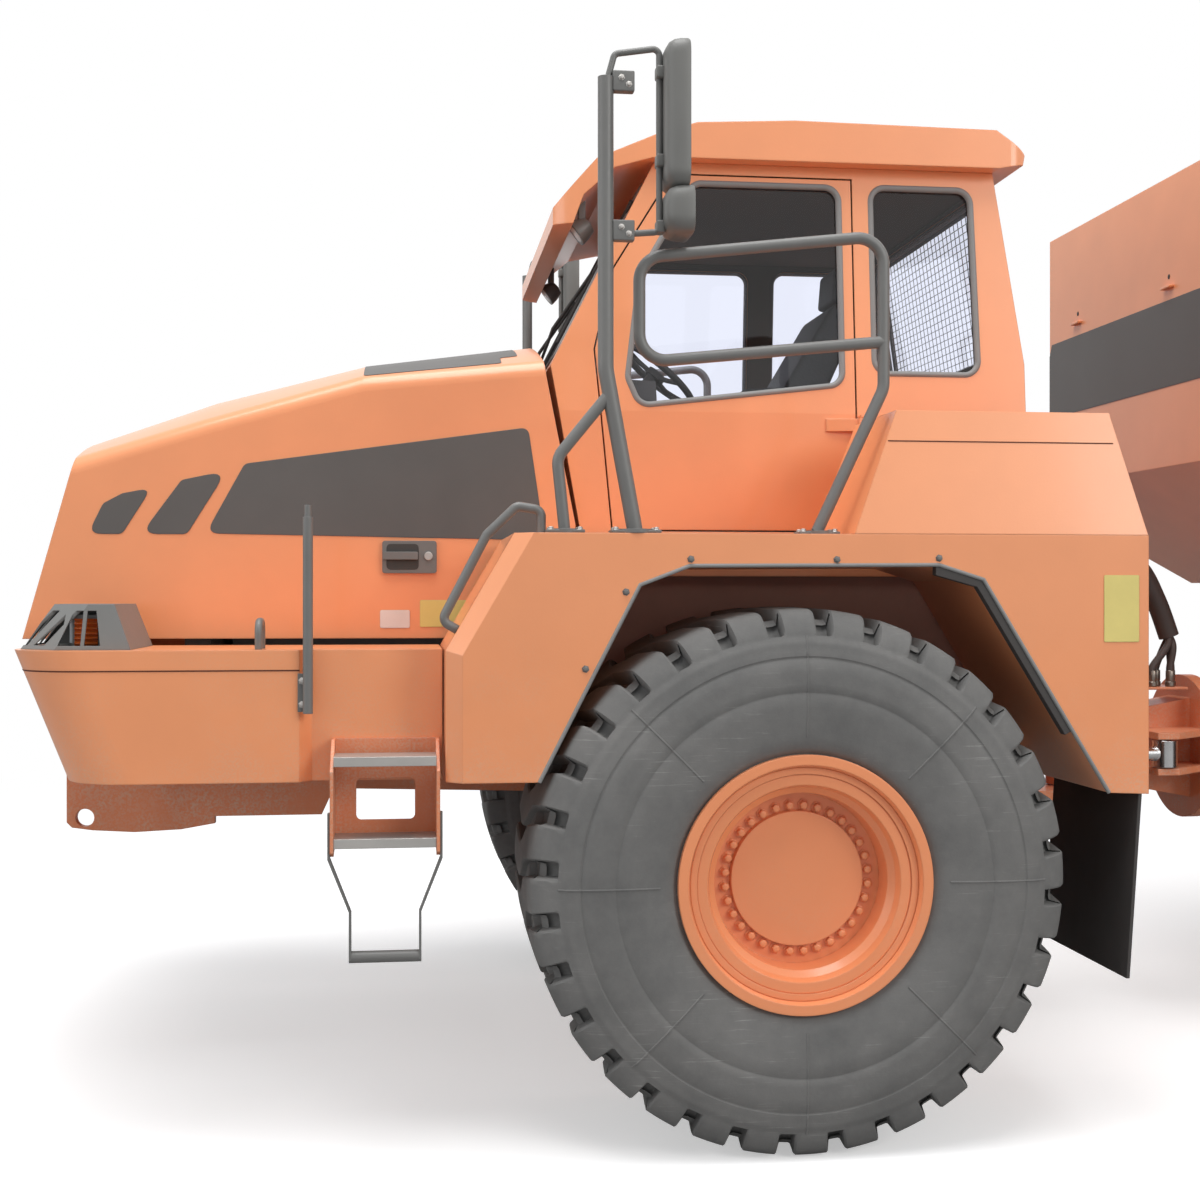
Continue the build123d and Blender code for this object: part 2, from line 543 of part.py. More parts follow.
def fender_block(inset):
    """The left fender as a solid, drawn in by inset everywhere but at its open side."""
    with BuildPart() as block:
        with BuildSketch(side_plane(FRONT_AXLE_X, -FENDER_INNER_Y + 2 * inset)):
            Polygon(*FENDER_OUTLINE, align=None)
            if inset:
                offset(amount=-inset, kind=Kind.INTERSECTION)
        extrude(amount=FENDER_OUTER_Y - FENDER_INNER_Y + inset)
        nose = block.faces().sort_by(Axis.Y)[0].edges().filter_by(
            lambda edge: edge.center().X < FRONT_AXLE_X - 1050 and edge.center().Z > 1400)
        chamfer(nose, length=FENDER_CHAMFER)
    return block.part


fender_outer = fender_block(0)
fender_inner = fender_block(PLATE)
with BuildPart() as fender_left:
    add(fender_outer)
    add(fender_inner, mode=Mode.SUBTRACT)
finish(fender_left, "fender_left")

with BuildPart() as fender_right:
    add(mirror(fender_left.part, about=Plane.XZ, mode=Mode.PRIVATE))
finish(fender_right, "fender_right")

# ------------------------------------------------------------------ side boxes
# A tall pressed cover stands on the rear of each fender; its ends slope and its outer side leans in to the
# top. It houses tanks and batteries, and is open below.
BOX_OUTLINE = [(182, FENDER_TOP_Z + SEAT), (352, 2560), (1128, 2560), (1238, FENDER_TOP_Z + SEAT)]
BOX_INNER_Y = 1160                      # leaves room beside the cab for the opened door
BOX_LEAN = 75


def box_block(inset):
    """The left cover as a solid, drawn in by inset on every face but its open underside."""
    with BuildPart() as length_cut:
        with BuildSketch(side_plane(FRONT_AXLE_X, 0)):
            Polygon(*BOX_OUTLINE, align=None)
            if inset:
                offset(amount=-inset, kind=Kind.INTERSECTION)
                Polygon((BOX_OUTLINE[0][0] + 2 * inset, FENDER_TOP_Z - 5),
                        (BOX_OUTLINE[3][0] - 2 * inset, FENDER_TOP_Z - 5),
                        (BOX_OUTLINE[3][0] - 2 * inset, FENDER_TOP_Z + 2 * inset),
                        (BOX_OUTLINE[0][0] + 2 * inset, FENDER_TOP_Z + 2 * inset), align=None)
        extrude(amount=FENDER_OUTER_Y)
    top_z = BOX_OUTLINE[1][1] - inset
    with BuildPart() as block:
        with BuildSketch(cross_plane(FRONT_AXLE_X)):
            Polygon((-BOX_INNER_Y - inset, FENDER_TOP_Z - 5), (-FENDER_OUTER_Y + inset, FENDER_TOP_Z - 5),
                    (-FENDER_OUTER_Y + inset, FENDER_TOP_Z + SEAT),
                    (-FENDER_OUTER_Y + BOX_LEAN + inset, top_z),
                    (-BOX_INNER_Y - inset, top_z), align=None)
        extrude(amount=BOX_OUTLINE[3][0] + 10)
        add(length_cut.part, mode=Mode.INTERSECT)
    return block.part


box_outer = box_block(0)
box_inner = box_block(PLATE)
with BuildPart() as side_box_left:
    add(box_outer)
    add(box_inner, mode=Mode.SUBTRACT)
finish(side_box_left, "side_box_left")

with BuildPart() as side_box_right:
    add(mirror(side_box_left.part, about=Plane.XZ, mode=Mode.PRIVATE))
finish(side_box_right, "side_box_right")

# ------------------------------------------------------------------ mud flaps
# A rubber sheet hangs behind each front wheel, under the fender's rear edge.
FLAP_THICKNESS = 12
FLAP_BOTTOM_Z = 575
FLAP_TOP_Z = 1220.5
FLAP_Y = (1010, 1735)
with BuildPart() as mud_flaps:
    for side in (-1, 1):
        plate([(1205, FLAP_TOP_Z), (1205 + FLAP_THICKNESS, FLAP_TOP_Z), (1172, FLAP_BOTTOM_Z),
               (1172 - FLAP_THICKNESS, FLAP_BOTTOM_Z)],
              side_plane(FRONT_AXLE_X, side * sum(FLAP_Y) / 2), (FLAP_Y[1] - FLAP_Y[0]) / 2, both=True)
finish(mud_flaps, "mud_flaps")

# ------------------------------------------------------------------ ladder
# Two steps hang from the bumper's flank between side plates, with a back plate that has a window in it, and a
# stirrup below them hangs on two bent straps.
LADDER_X = (-1592, -1228)
LADDER_BACK_Y = BUMPER_HALF - BUMPER_STEP_DEPTH + SEAT
LADDER_FRONT_Y = 1700
CHEEK_THICKNESS = 12
STEP_Z = (1090, 1362)
TREAD_DEPTH = 150
TREAD_THICKNESS = 32
with BuildPart() as ladder:
    for x in (LADDER_X[0], LADDER_X[1] - CHEEK_THICKNESS):
        plate([(-LADDER_BACK_Y, 1070), (-LADDER_BACK_Y, 1425), (-LADDER_BACK_Y - 60, 1425),
               (-LADDER_FRONT_Y, 1330),
               (-LADDER_FRONT_Y, 1060), (-LADDER_FRONT_Y + 30, 1045)], cross_plane(FRONT_AXLE_X + x),
               CHEEK_THICKNESS)
    with BuildSketch(side_plane(FRONT_AXLE_X, -LADDER_BACK_Y)) as back_plate:
        Polygon((LADDER_X[0] + 1, 1060), (LADDER_X[1] - 1, 1060), (LADDER_X[1] - 1, 1425),
                (LADDER_X[0] + 1, 1425),
                align=None)
        with Locations(((LADDER_X[0] + LADDER_X[1]) / 2, 1215)):
            RectangleRounded(200, 140, 18, mode=Mode.SUBTRACT)
    extrude(back_plate.sketch, amount=8)
finish(ladder, "ladder")

with BuildPart() as ladder_treads:
    tread_length = LADDER_X[1] - LADDER_X[0] - 2 * CHEEK_THICKNESS - 2 * SEAT
    for step_z in STEP_Z:
        with BuildSketch(cross_plane(FRONT_AXLE_X + LADDER_X[0] + CHEEK_THICKNESS + SEAT)) as tread:
            with Locations((-LADDER_FRONT_Y + TREAD_DEPTH / 2 + 5, step_z)):
                Rectangle(TREAD_DEPTH, TREAD_THICKNESS)
        extrude(tread.sketch, amount=tread_length)
finish(ladder_treads, "ladder_treads")

STRAP_WIDTH = 40
STRAP_THICKNESS = 8
STIRRUP_Z = 690
with BuildPart() as ladder_stirrup:
    strap_y = -LADDER_FRONT_Y + STRAP_WIDTH + 10
    for x_top, x_foot, out in ((LADDER_X[0] - SEAT, -1522, -1), (LADDER_X[1] + SEAT, -1298, 1)):
        plate([(x_top + out * STRAP_THICKNESS, 1190), (x_top, 1190), (x_top, 1040), (x_foot, 860),
               (x_foot, 700),
               (x_foot + out * STRAP_THICKNESS, 700), (x_foot + out * STRAP_THICKNESS, 862),
               (x_top + out * STRAP_THICKNESS, 1038)], side_plane(FRONT_AXLE_X, strap_y), STRAP_WIDTH)
    rod((FRONT_AXLE_X - 1522 - STRAP_THICKNESS, strap_y - STRAP_WIDTH / 2, STIRRUP_Z + 20),
        (FRONT_AXLE_X - 1298 + STRAP_THICKNESS, strap_y - STRAP_WIDTH / 2, STIRRUP_Z + 20), 20)
finish(ladder_stirrup, "ladder_stirrup")

# ------------------------------------------------------------------ handrails
# Bent tube rails on the fender decks: a looped guard beside each door, and grab rails up the fenders' fronts.
RAIL_TUBE = 21
RAIL_Y = 1620
FOOT_THICKNESS = 14                     # round foot plates under the posts
FOOT_DEPTH = 10                         # how high in its foot a leaning tube starts
DECK_SEAT_Z = FENDER_TOP_Z + SEAT
with BuildPart() as handrails:
    for side in (-1, 1):
        y = side * RAIL_Y
        lower_front, lower_rear = Vector(*at(-545, y, 2715)), Vector(*at(320, y, 2803))
        lower_joint = lower_front + (lower_rear - lower_front) * 0.3
        bent_tube([at(80, y, DECK_SEAT_Z + FOOT_DEPTH), at(320, y, 2640), at(320, y, 3175),
                   at(-545, y, 3075), lower_front, lower_joint],
                  90, RAIL_TUBE)
        rod(lower_joint, lower_rear, RAIL_TUBE)
        rod(at(80, y, DECK_SEAT_Z), at(80, y, DECK_SEAT_Z + FOOT_THICKNESS), 55)
finish(handrails, "handrails")

with BuildPart() as grab_rails:
    for side in (-1, 1):
        y = side * 1640
        bent_tube([at(-1170 - 0.864 * SEAT, y, 1799 + 0.503 * SEAT), at(-1222, y, 1829), at(-1070, y, 2120),
                   at(-968, y, 2218),
                   at(-885, y, 2205), at(-885, y, DECK_SEAT_Z)], 28, 16)
        bent_tube([(FRONT_AXLE_X - 1840, side * 1500, BUMPER_TOP_Z + SEAT),
                   (FRONT_AXLE_X - 1840, side * 1500, 1825),
                   (FRONT_AXLE_X - 1840, side * 1380, 1825),
                   (FRONT_AXLE_X - 1840, side * 1380, BUMPER_TOP_Z + SEAT)],
                  40, 13)
    # width marker: a stepped upright clamped to the left flank
    rod((FRONT_AXLE_X - 1670, -1572, 1515), (FRONT_AXLE_X - 1670, -1572, 2180), 17)
    rod((FRONT_AXLE_X - 1670, -1572, 2180), (FRONT_AXLE_X - 1670, -1572, 2220), 12)
    plate([(-1705, 1520), (-1672, 1520), (-1672, 1650), (-1705, 1650)],
          side_plane(FRONT_AXLE_X, -1550 - SEAT), 8)
finish(grab_rails, "grab_rails")

# ------------------------------------------------------------------ mirrors
# A tall post at the front of each fender deck, with a brace at its foot, carries a large and a small mirror.
MIRROR_POST_Y = 1685
MIRROR_POST_RADIUS = 27
MIRROR_EDGE = -475                      # inner edge of both mirror heads, rearward of the axle
with BuildPart() as mirror_posts:
    for side in (-1, 1):
        y = side * MIRROR_POST_Y
        bent_tube([at(-570, y, DECK_SEAT_Z + FOOT_DEPTH), at(-670, y, 2680), at(-670, y, 3670)], 200,
                  MIRROR_POST_RADIUS)
        bent_tube([at(-810, y, DECK_SEAT_Z + FOOT_DEPTH), at(-835, y, 2380), at(-655, y, 2600)], 70, 20)
        rod(at(-570, y, DECK_SEAT_Z), at(-570, y, DECK_SEAT_Z + FOOT_THICKNESS), 60)
        rod(at(-810, y, DECK_SEAT_Z), at(-810, y, DECK_SEAT_Z + FOOT_THICKNESS), 50)
        bent_tube([at(-670, y, 3640), at(-640, y, 3750), at(MIRROR_EDGE - 11 - SEAT, y, 3775),
                   at(MIRROR_EDGE - 11 - SEAT, y, 3150),
                   at(-670, y, 3135)], 22, 11)
finish(mirror_posts, "mirror_posts")

with BuildPart() as mirrors:
    for side in (-1, 1):
        for z, depth, height in ((3540, 80, 500), (3215, 95, 165)):
            with BuildSketch(side_plane(FRONT_AXLE_X, side * MIRROR_POST_Y)) as shell:
                with Locations((MIRROR_EDGE + depth / 2, z)):
                    RectangleRounded(depth, height, 25)
            extrude(shell.sketch, amount=110, both=True)
finish(mirrors, "mirrors")

# ------------------------------------------------------------------ cab
# A welded cab: upright to its waist, leaning in above it, with a raked windscreen and a slightly raked rear.
# Walls, door and panes are all cut from layers of the same block, so that they lie flush in each other.
CAB_HALF = 930
CAB_TOP_HALF = 850
CAB_WAIST_Z = 2630
CAB_FLOOR_Z = 1990
CAB_TOP_Z = 3620
CAB_WALL = 45
PANE_DEPTH = 16
PANE = 6
CAB_SIDE = [(-640, CAB_FLOOR_Z), (-785, 2805), (-370, CAB_TOP_Z), (1010, CAB_TOP_Z), (1120, 2840),
            (1120, CAB_FLOOR_Z)]
CAB_FRONT = [(-CAB_HALF, CAB_FLOOR_Z), (-CAB_HALF, CAB_WAIST_Z), (-CAB_TOP_HALF, CAB_TOP_Z),
             (CAB_TOP_HALF, CAB_TOP_Z),
             (CAB_HALF, CAB_WAIST_Z), (CAB_HALF, CAB_FLOOR_Z)]
DOOR_OUTLINE = [(-545, 2170), (-612, 2870), (-535, 3190), (-299, 3570), (420, 3570), (420, 2170)]
DOOR_WINDOW = [(-440, 2650), (-487, 2760), (-435, 3160), (-215, 3540), (372, 3540), (372, 2745)]
REAR_SIDE_WINDOW = [(500, 2792), (500, 3545), (915, 3545), (930, 2792)]
WINDOW_CORNER = 60
DOOR_HINGE = (440, 962)                 # rearward of the axle, to the left of the middle
DOOR_HINGE_Z = (2260, 2560)
DOOR_KNUCKLE = 16
DOOR_PIN = 8


def cab_block(inset):
    """The cab as a solid, drawn in by inset on every face."""
    with BuildPart() as block:
        with BuildSketch(side_plane(FRONT_AXLE_X, 0)):
            Polygon(*CAB_SIDE, align=None)
            if inset:
                offset(amount=-inset, kind=Kind.INTERSECTION)
        extrude(amount=CAB_HALF + 100, both=True)
    with BuildPart() as trimmed:
        with BuildSketch(cross_plane(FRONT_AXLE_X - 900)):
            Polygon(*CAB_FRONT, align=None)
            if inset:
                offset(amount=-inset, kind=Kind.INTERSECTION)
        extrude(amount=2200)
        add(block.part, mode=Mode.INTERSECT)
    return trimmed.part


def window_cut(points, y_start, depth, shrink, mode):
    """Cut (or keep) what lies behind a round-cornered side window, from y_start for depth leftwards."""
    with BuildSketch(side_plane(FRONT_AXLE_X, y_start)) as opening:
        Polygon(*points, align=None)
        fillet(vertices(), radius=WINDOW_CORNER)
        if shrink:
            offset(amount=-shrink)
    extrude(opening.sketch, amount=depth, mode=mode)


SCREEN_SLOPE = Vector(CAB_SIDE[2][0] - CAB_SIDE[1][0], 0, CAB_SIDE[2][1] - CAB_SIDE[1][1]).normalized()
SCREEN_PLANE = Plane(
    origin=(FRONT_AXLE_X + (CAB_SIDE[1][0] + CAB_SIDE[2][0]) / 2, 0, (CAB_SIDE[1][1] + CAB_SIDE[2][1]) / 2),
    x_dir=(0, -1, 0), z_dir=(-SCREEN_SLOPE.Z, 0, SCREEN_SLOPE.X))
SCREEN_SIZE = (1540, 780)
REAR_SLOPE = Vector(CAB_SIDE[3][0] - CAB_SIDE[4][0], 0, CAB_SIDE[3][1] - CAB_SIDE[4][1]).normalized()
REAR_PLANE = Plane(
    origin=(FRONT_AXLE_X + (CAB_SIDE[3][0] + CAB_SIDE[4][0]) / 2, 0, (CAB_SIDE[3][1] + CAB_SIDE[4][1]) / 2),
    x_dir=(0, 1, 0), z_dir=(REAR_SLOPE.Z, 0, -REAR_SLOPE.X))
REAR_SIZE = (1480, 660)


def end_window(plane, size, shrink, mode):
    """Cut (or keep) what lies behind the windscreen or the rear window."""
    with BuildSketch(plane) as opening:
        RectangleRounded(size[0] - 2 * shrink, size[1] - 2 * shrink, WINDOW_CORNER - shrink)
    extrude(opening.sketch, amount=150, both=True, mode=mode)


cab_solid = cab_block(0)
cab_hollow = cab_block(CAB_WALL)
pane_outer = cab_block(PANE_DEPTH)
pane_inner = cab_block(PANE_DEPTH + PANE)

with BuildPart() as cab_shell:
    add(cab_solid)
    add(cab_hollow, mode=Mode.SUBTRACT)
    with BuildSketch(side_plane(FRONT_AXLE_X, -CAB_TOP_HALF + 200)) as doorway:
        Polygon(*DOOR_OUTLINE, align=None)
        offset(amount=MOVING_GAP, kind=Kind.INTERSECTION)
    extrude(doorway.sketch, amount=400, mode=Mode.SUBTRACT)
    window_cut(REAR_SIDE_WINDOW, 1100, 2200, 0, Mode.SUBTRACT)
    window_cut(DOOR_WINDOW, 1100, 500, 0, Mode.SUBTRACT)
    end_window(SCREEN_PLANE, SCREEN_SIZE, 0, Mode.SUBTRACT)
    end_window(REAR_PLANE, REAR_SIZE, 0, Mode.SUBTRACT)
    # hinge pins for the door, held above and below its knuckles
    for z in DOOR_HINGE_Z:
        for bracket_z in (z - 1 - 12, z + 50 + 1):
            plate([(DOOR_OUTLINE[-1][0] + 10, -CAB_HALF + 5), (520, -CAB_HALF + 5), (520, -CAB_HALF - 8),
                   (DOOR_HINGE[0] + 12, -DOOR_HINGE[1] - 12), (DOOR_HINGE[0] - 10, -DOOR_HINGE[1] - 12),
                   (DOOR_HINGE[0] - 10, -DOOR_HINGE[1] + 6)], plan_plane(FRONT_AXLE_X, bracket_z), 12)
        rod((FRONT_AXLE_X + DOOR_HINGE[0], -DOOR_HINGE[1], z - 13),
            (FRONT_AXLE_X + DOOR_HINGE[0], -DOOR_HINGE[1], z + 63),
            DOOR_PIN)
    # mounting feet down to the frame's rails
    for side in (-1, 1):
        for x in (-500, 900):
            rod((FRONT_AXLE_X + x, side * 285, 1480 if x < 0 else 1455),
                (FRONT_AXLE_X + x, side * 285, CAB_FLOOR_Z), 34)
finish(cab_shell, "cab_shell")

with BuildPart() as side_glass:
    window_cut(REAR_SIDE_WINDOW, 1100, 2200, SEAT, Mode.ADD)
    window_cut(DOOR_WINDOW, 1100, 500, SEAT, Mode.ADD)
    add(pane_outer, mode=Mode.INTERSECT)
    add(pane_inner, mode=Mode.SUBTRACT)
finish(side_glass, "side_glass")

for glass_name, glass_plane, glass_size in (("windscreen", SCREEN_PLANE, SCREEN_SIZE),
                                            ("rear_glass", REAR_PLANE, REAR_SIZE)):
    with BuildPart() as glass:
        end_window(glass_plane, glass_size, SEAT, Mode.ADD)
        add(pane_outer, mode=Mode.INTERSECT)
        add(pane_inner, mode=Mode.SUBTRACT)
    finish(glass, glass_name)

# ------------------------------------------------------------------ cab roof
# A moulded roof with a sun visor that droops over the windscreen and a lip over the rear window.
ROOF_HALF = 925
ROOF_SIDE = [
    (-690, 3370), (-765, 3372), (-765, 3440), (-600, 3622), (-370, 3712), (-210, 3760), (180, 3780),
    (1000, 3772),
    (1130, 3684), (1118, 3640), (1012, CAB_TOP_Z + SEAT), (-385, CAB_TOP_Z + SEAT), (-530, 3585),
    (-650, 3480),
]
with BuildPart() as cab_roof:
    with BuildSketch(side_plane(FRONT_AXLE_X, 0)):
        Polygon(*ROOF_SIDE, align=None)
    extrude(amount=ROOF_HALF, both=True)
    with BuildSketch(plan_plane(FRONT_AXLE_X, 3300)) as roof_plan:
        Polygon((-800, -ROOF_HALF + 90), (-300, -ROOF_HALF), (1150, -ROOF_HALF), (1150, ROOF_HALF),
                (-300, ROOF_HALF), (-800, ROOF_HALF - 90), align=None)
        fillet(vertices().group_by(Axis.X)[0], radius=170)
        fillet(vertices().group_by(Axis.X)[-1], radius=90)
    extrude(roof_plan.sketch, amount=700, mode=Mode.INTERSECT)
finish(cab_roof, "cab_roof")

# ------------------------------------------------------------------ door
# The left door, cut from the cab's wall, turns outwards on pins at its rear edge.
with BuildPart() as door:
    with BuildSketch(side_plane(FRONT_AXLE_X, -CAB_TOP_HALF + 200)):
        Polygon(*DOOR_OUTLINE, align=None)
    extrude(amount=400)
    add(cab_solid, mode=Mode.INTERSECT)
    add(cab_hollow, mode=Mode.SUBTRACT)
    window_cut(DOOR_WINDOW, -CAB_TOP_HALF + 200, 400, 0, Mode.SUBTRACT)
    for z in DOOR_HINGE_Z:
        plate([(300, -CAB_HALF + 5), (400, -CAB_HALF + 5), (DOOR_HINGE[0], -CAB_HALF - DOOR_KNUCKLE),
               (DOOR_HINGE[0], -CAB_HALF - DOOR_KNUCKLE - 12),
               (300, -CAB_HALF - 8)], plan_plane(FRONT_AXLE_X, z), 50)
        rod((FRONT_AXLE_X + DOOR_HINGE[0], -DOOR_HINGE[1], z),
            (FRONT_AXLE_X + DOOR_HINGE[0], -DOOR_HINGE[1], z + 50),
            DOOR_KNUCKLE)
        rod((FRONT_AXLE_X + DOOR_HINGE[0], -DOOR_HINGE[1], z - 10),
            (FRONT_AXLE_X + DOOR_HINGE[0], -DOOR_HINGE[1], z + 60),
            DOOR_PIN + PIN_CLEARANCE, mode=Mode.SUBTRACT)
finish(door, "door")

with BuildPart() as door_glass:
    window_cut(DOOR_WINDOW, -CAB_TOP_HALF + 200, 400, SEAT, Mode.ADD)
    add(pane_outer, mode=Mode.INTERSECT)
    add(pane_inner, mode=Mode.SUBTRACT)
finish(door_glass, "door_glass")

# ------------------------------------------------------------------ inside the cab
CABIN_FLOOR = CAB_FLOOR_Z + CAB_WALL
with BuildPart() as seat:
    plate([(150, CABIN_FLOOR), (520, CABIN_FLOOR), (480, 2500), (190, 2500)], side_plane(FRONT_AXLE_X, 0),
          200, both=True)
    plate([(60, 2500), (60, 2600), (120, 2640), (560, 2610), (700, 3260), (790, 3240), (640, 2500)],
          side_plane(FRONT_AXLE_X, 0), 260, both=True)
    plate([(690, 3240), (735, 3440), (795, 3425), (760, 3225)], side_plane(FRONT_AXLE_X, 0), 130, both=True)
finish(seat, "seat")

WHEEL_CENTRE = Vector(FRONT_AXLE_X - 250, 0, 2830)
WHEEL_TILT = Vector(0.5, 0, 0.866)
COLUMN_LENGTH = 350
COLUMN_RADIUS = 35
with BuildPart() as steering_wheel:
    rod(WHEEL_CENTRE - WHEEL_TILT * 20, WHEEL_CENTRE + WHEEL_TILT * 20, 215)
    rod(WHEEL_CENTRE - WHEEL_TILT * 30, WHEEL_CENTRE + WHEEL_TILT * 30, 185, mode=Mode.SUBTRACT)
    rod(WHEEL_CENTRE - WHEEL_TILT * 20, WHEEL_CENTRE + WHEEL_TILT * 10, 45)
    for angle in (30, 150, 270):
        spoke = Vector(0, 1, 0) * cos(radians(angle)) + Vector(0.866, 0, -0.5) * sin(radians(angle))
        rod(WHEEL_CENTRE + spoke * 30, WHEEL_CENTRE + spoke * 190, 12)
    rod(WHEEL_CENTRE - WHEEL_TILT * COLUMN_LENGTH, WHEEL_CENTRE, COLUMN_RADIUS)
finish(steering_wheel, "steering_wheel")

with BuildPart() as dashboard:
    plate([(-590, CABIN_FLOOR), (-400, CABIN_FLOOR), (-430, 2450), (-350, 2560), (-360, 2760), (-690, 2780),
           (-690, 2700)],
          side_plane(FRONT_AXLE_X, 0), CAB_HALF - CAB_WALL - 60, both=True)
    rod(WHEEL_CENTRE - WHEEL_TILT * (COLUMN_LENGTH + 1), WHEEL_CENTRE, COLUMN_RADIUS + SEAT,
        mode=Mode.SUBTRACT)
finish(dashboard, "dashboard")

# ------------------------------------------------------------------ hitch
# The hitch turns about the vertical steering pin between the frame's ears, and the rear unit rolls on the
# round spigot behind its flange. Lugs beside the pin take the steering cylinders' rods.
HUB_RADIUS = 120
HITCH_FLANGE = (520, 580)               # behind the pivot
HITCH_FLANGE_RADIUS = 330
SPIGOT_RADIUS = 180
SPIGOT_END = 900
KEEPER = (SPIGOT_END, SPIGOT_END + 30)
COLLAR = (HITCH_FLANGE[1] + MOVING_GAP, SPIGOT_END - SEAT)
COLLAR_RADIUS = 270
HUB_HALF = EAR_GAP_HALF - MOVING_GAP
with BuildPart() as hitch:
    rod((STEER_X, 0, RING_Z - HUB_HALF), (STEER_X, 0, RING_Z + HUB_HALF), HUB_RADIUS)
    plate([(0, RING_Z - HUB_HALF), (EAR_RADIUS + 60, RING_Z - HUB_HALF),
           (HITCH_FLANGE[0] + 10, RING_Z - 230),
           (HITCH_FLANGE[0] + 10, RING_Z + 230), (EAR_RADIUS + 60, RING_Z + HUB_HALF),
           (0, RING_Z + HUB_HALF)],
          side_plane(STEER_X, 0), 105, both=True)
    rod((STEER_X + HITCH_FLANGE[0], 0, RING_Z), (STEER_X + HITCH_FLANGE[1], 0, RING_Z), HITCH_FLANGE_RADIUS)
    rod((STEER_X + HITCH_FLANGE[1], 0, RING_Z), (STEER_X + SPIGOT_END + SEAT, 0, RING_Z), SPIGOT_RADIUS)
    rod((STEER_X + KEEPER[0] + SEAT, 0, RING_Z), (STEER_X + KEEPER[1], 0, RING_Z), SPIGOT_RADIUS + 50)
    for side in (-1, 1):
        for lug_z in (STEER_CYLINDER_Z + LUG_GAP_HALF, STEER_CYLINDER_Z - LUG_GAP_HALF - LUG_THICKNESS):
            plate([(STEER_EYE[0] - 60, side * 90), (STEER_EYE[0] - 50, side * (STEER_EYE[1] + 40)),
                   (STEER_EYE[0] + 50, side * (STEER_EYE[1] + 40)), (HITCH_FLANGE[0] + 10, side * 240),
                   (HITCH_FLANGE[0] + 10, side * 90)], plan_plane(STEER_X, lug_z), LUG_THICKNESS)
    # steering pin with a head above and below the ears
    rod((STEER_X, 0, RING_Z - EAR_GAP_HALF - EAR_THICKNESS - 30),
        (STEER_X, 0, RING_Z + EAR_GAP_HALF + EAR_THICKNESS + 30),
        STEER_PIN_RADIUS)
    for z in (RING_Z - EAR_GAP_HALF - EAR_THICKNESS - 30,
              RING_Z + EAR_GAP_HALF + EAR_THICKNESS + PIN_CLEARANCE):
        rod((STEER_X, 0, z), (STEER_X, 0, z + 30 - PIN_CLEARANCE), STEER_PIN_RADIUS + 28)
finish(hitch, "hitch")

# ------------------------------------------------------------------ rear frame
# A collar rolls on the hitch's spigot; behind it two deep rails run over the bogie to the tipping shaft.
REAR_RAIL_INNER = 260
REAR_RAIL_OUTER = 350
REAR_RAIL_TOP = 1715
REAR_FRONT = COLLAR[0] + STEER_PIVOT            # collar's front face, from the front axle
REAR_TAIL = TIP_X - FRONT_AXLE_X + 160
COLLAR_BACK = COLLAR[1] + STEER_PIVOT
REAR_RAIL_SIDE = [
    (REAR_FRONT + 80, 1010), (REAR_FRONT + 80, 1430), (2750, 1490), (3150, REAR_RAIL_TOP),
    (REAR_TAIL - 90, REAR_RAIL_TOP),
    (REAR_TAIL, 1650), (REAR_TAIL, 1520), (REAR_TAIL - 260, 1400), (3500, 1290), (3050, 1010),
]
AXLE_SADDLE = 200
TIP_CYLINDER_Y = 560
TIP_BASE = (3400, 1000)                 # cylinder's foot pin, from the front axle and the ground
TIP_EYE = (6000, 1860)                  # cylinder's pin on the bed
TIP_FOOT_PIN_RADIUS = 40
BOGIE = BOGIE_X - FRONT_AXLE_X
TIP = TIP_X - FRONT_AXLE_X
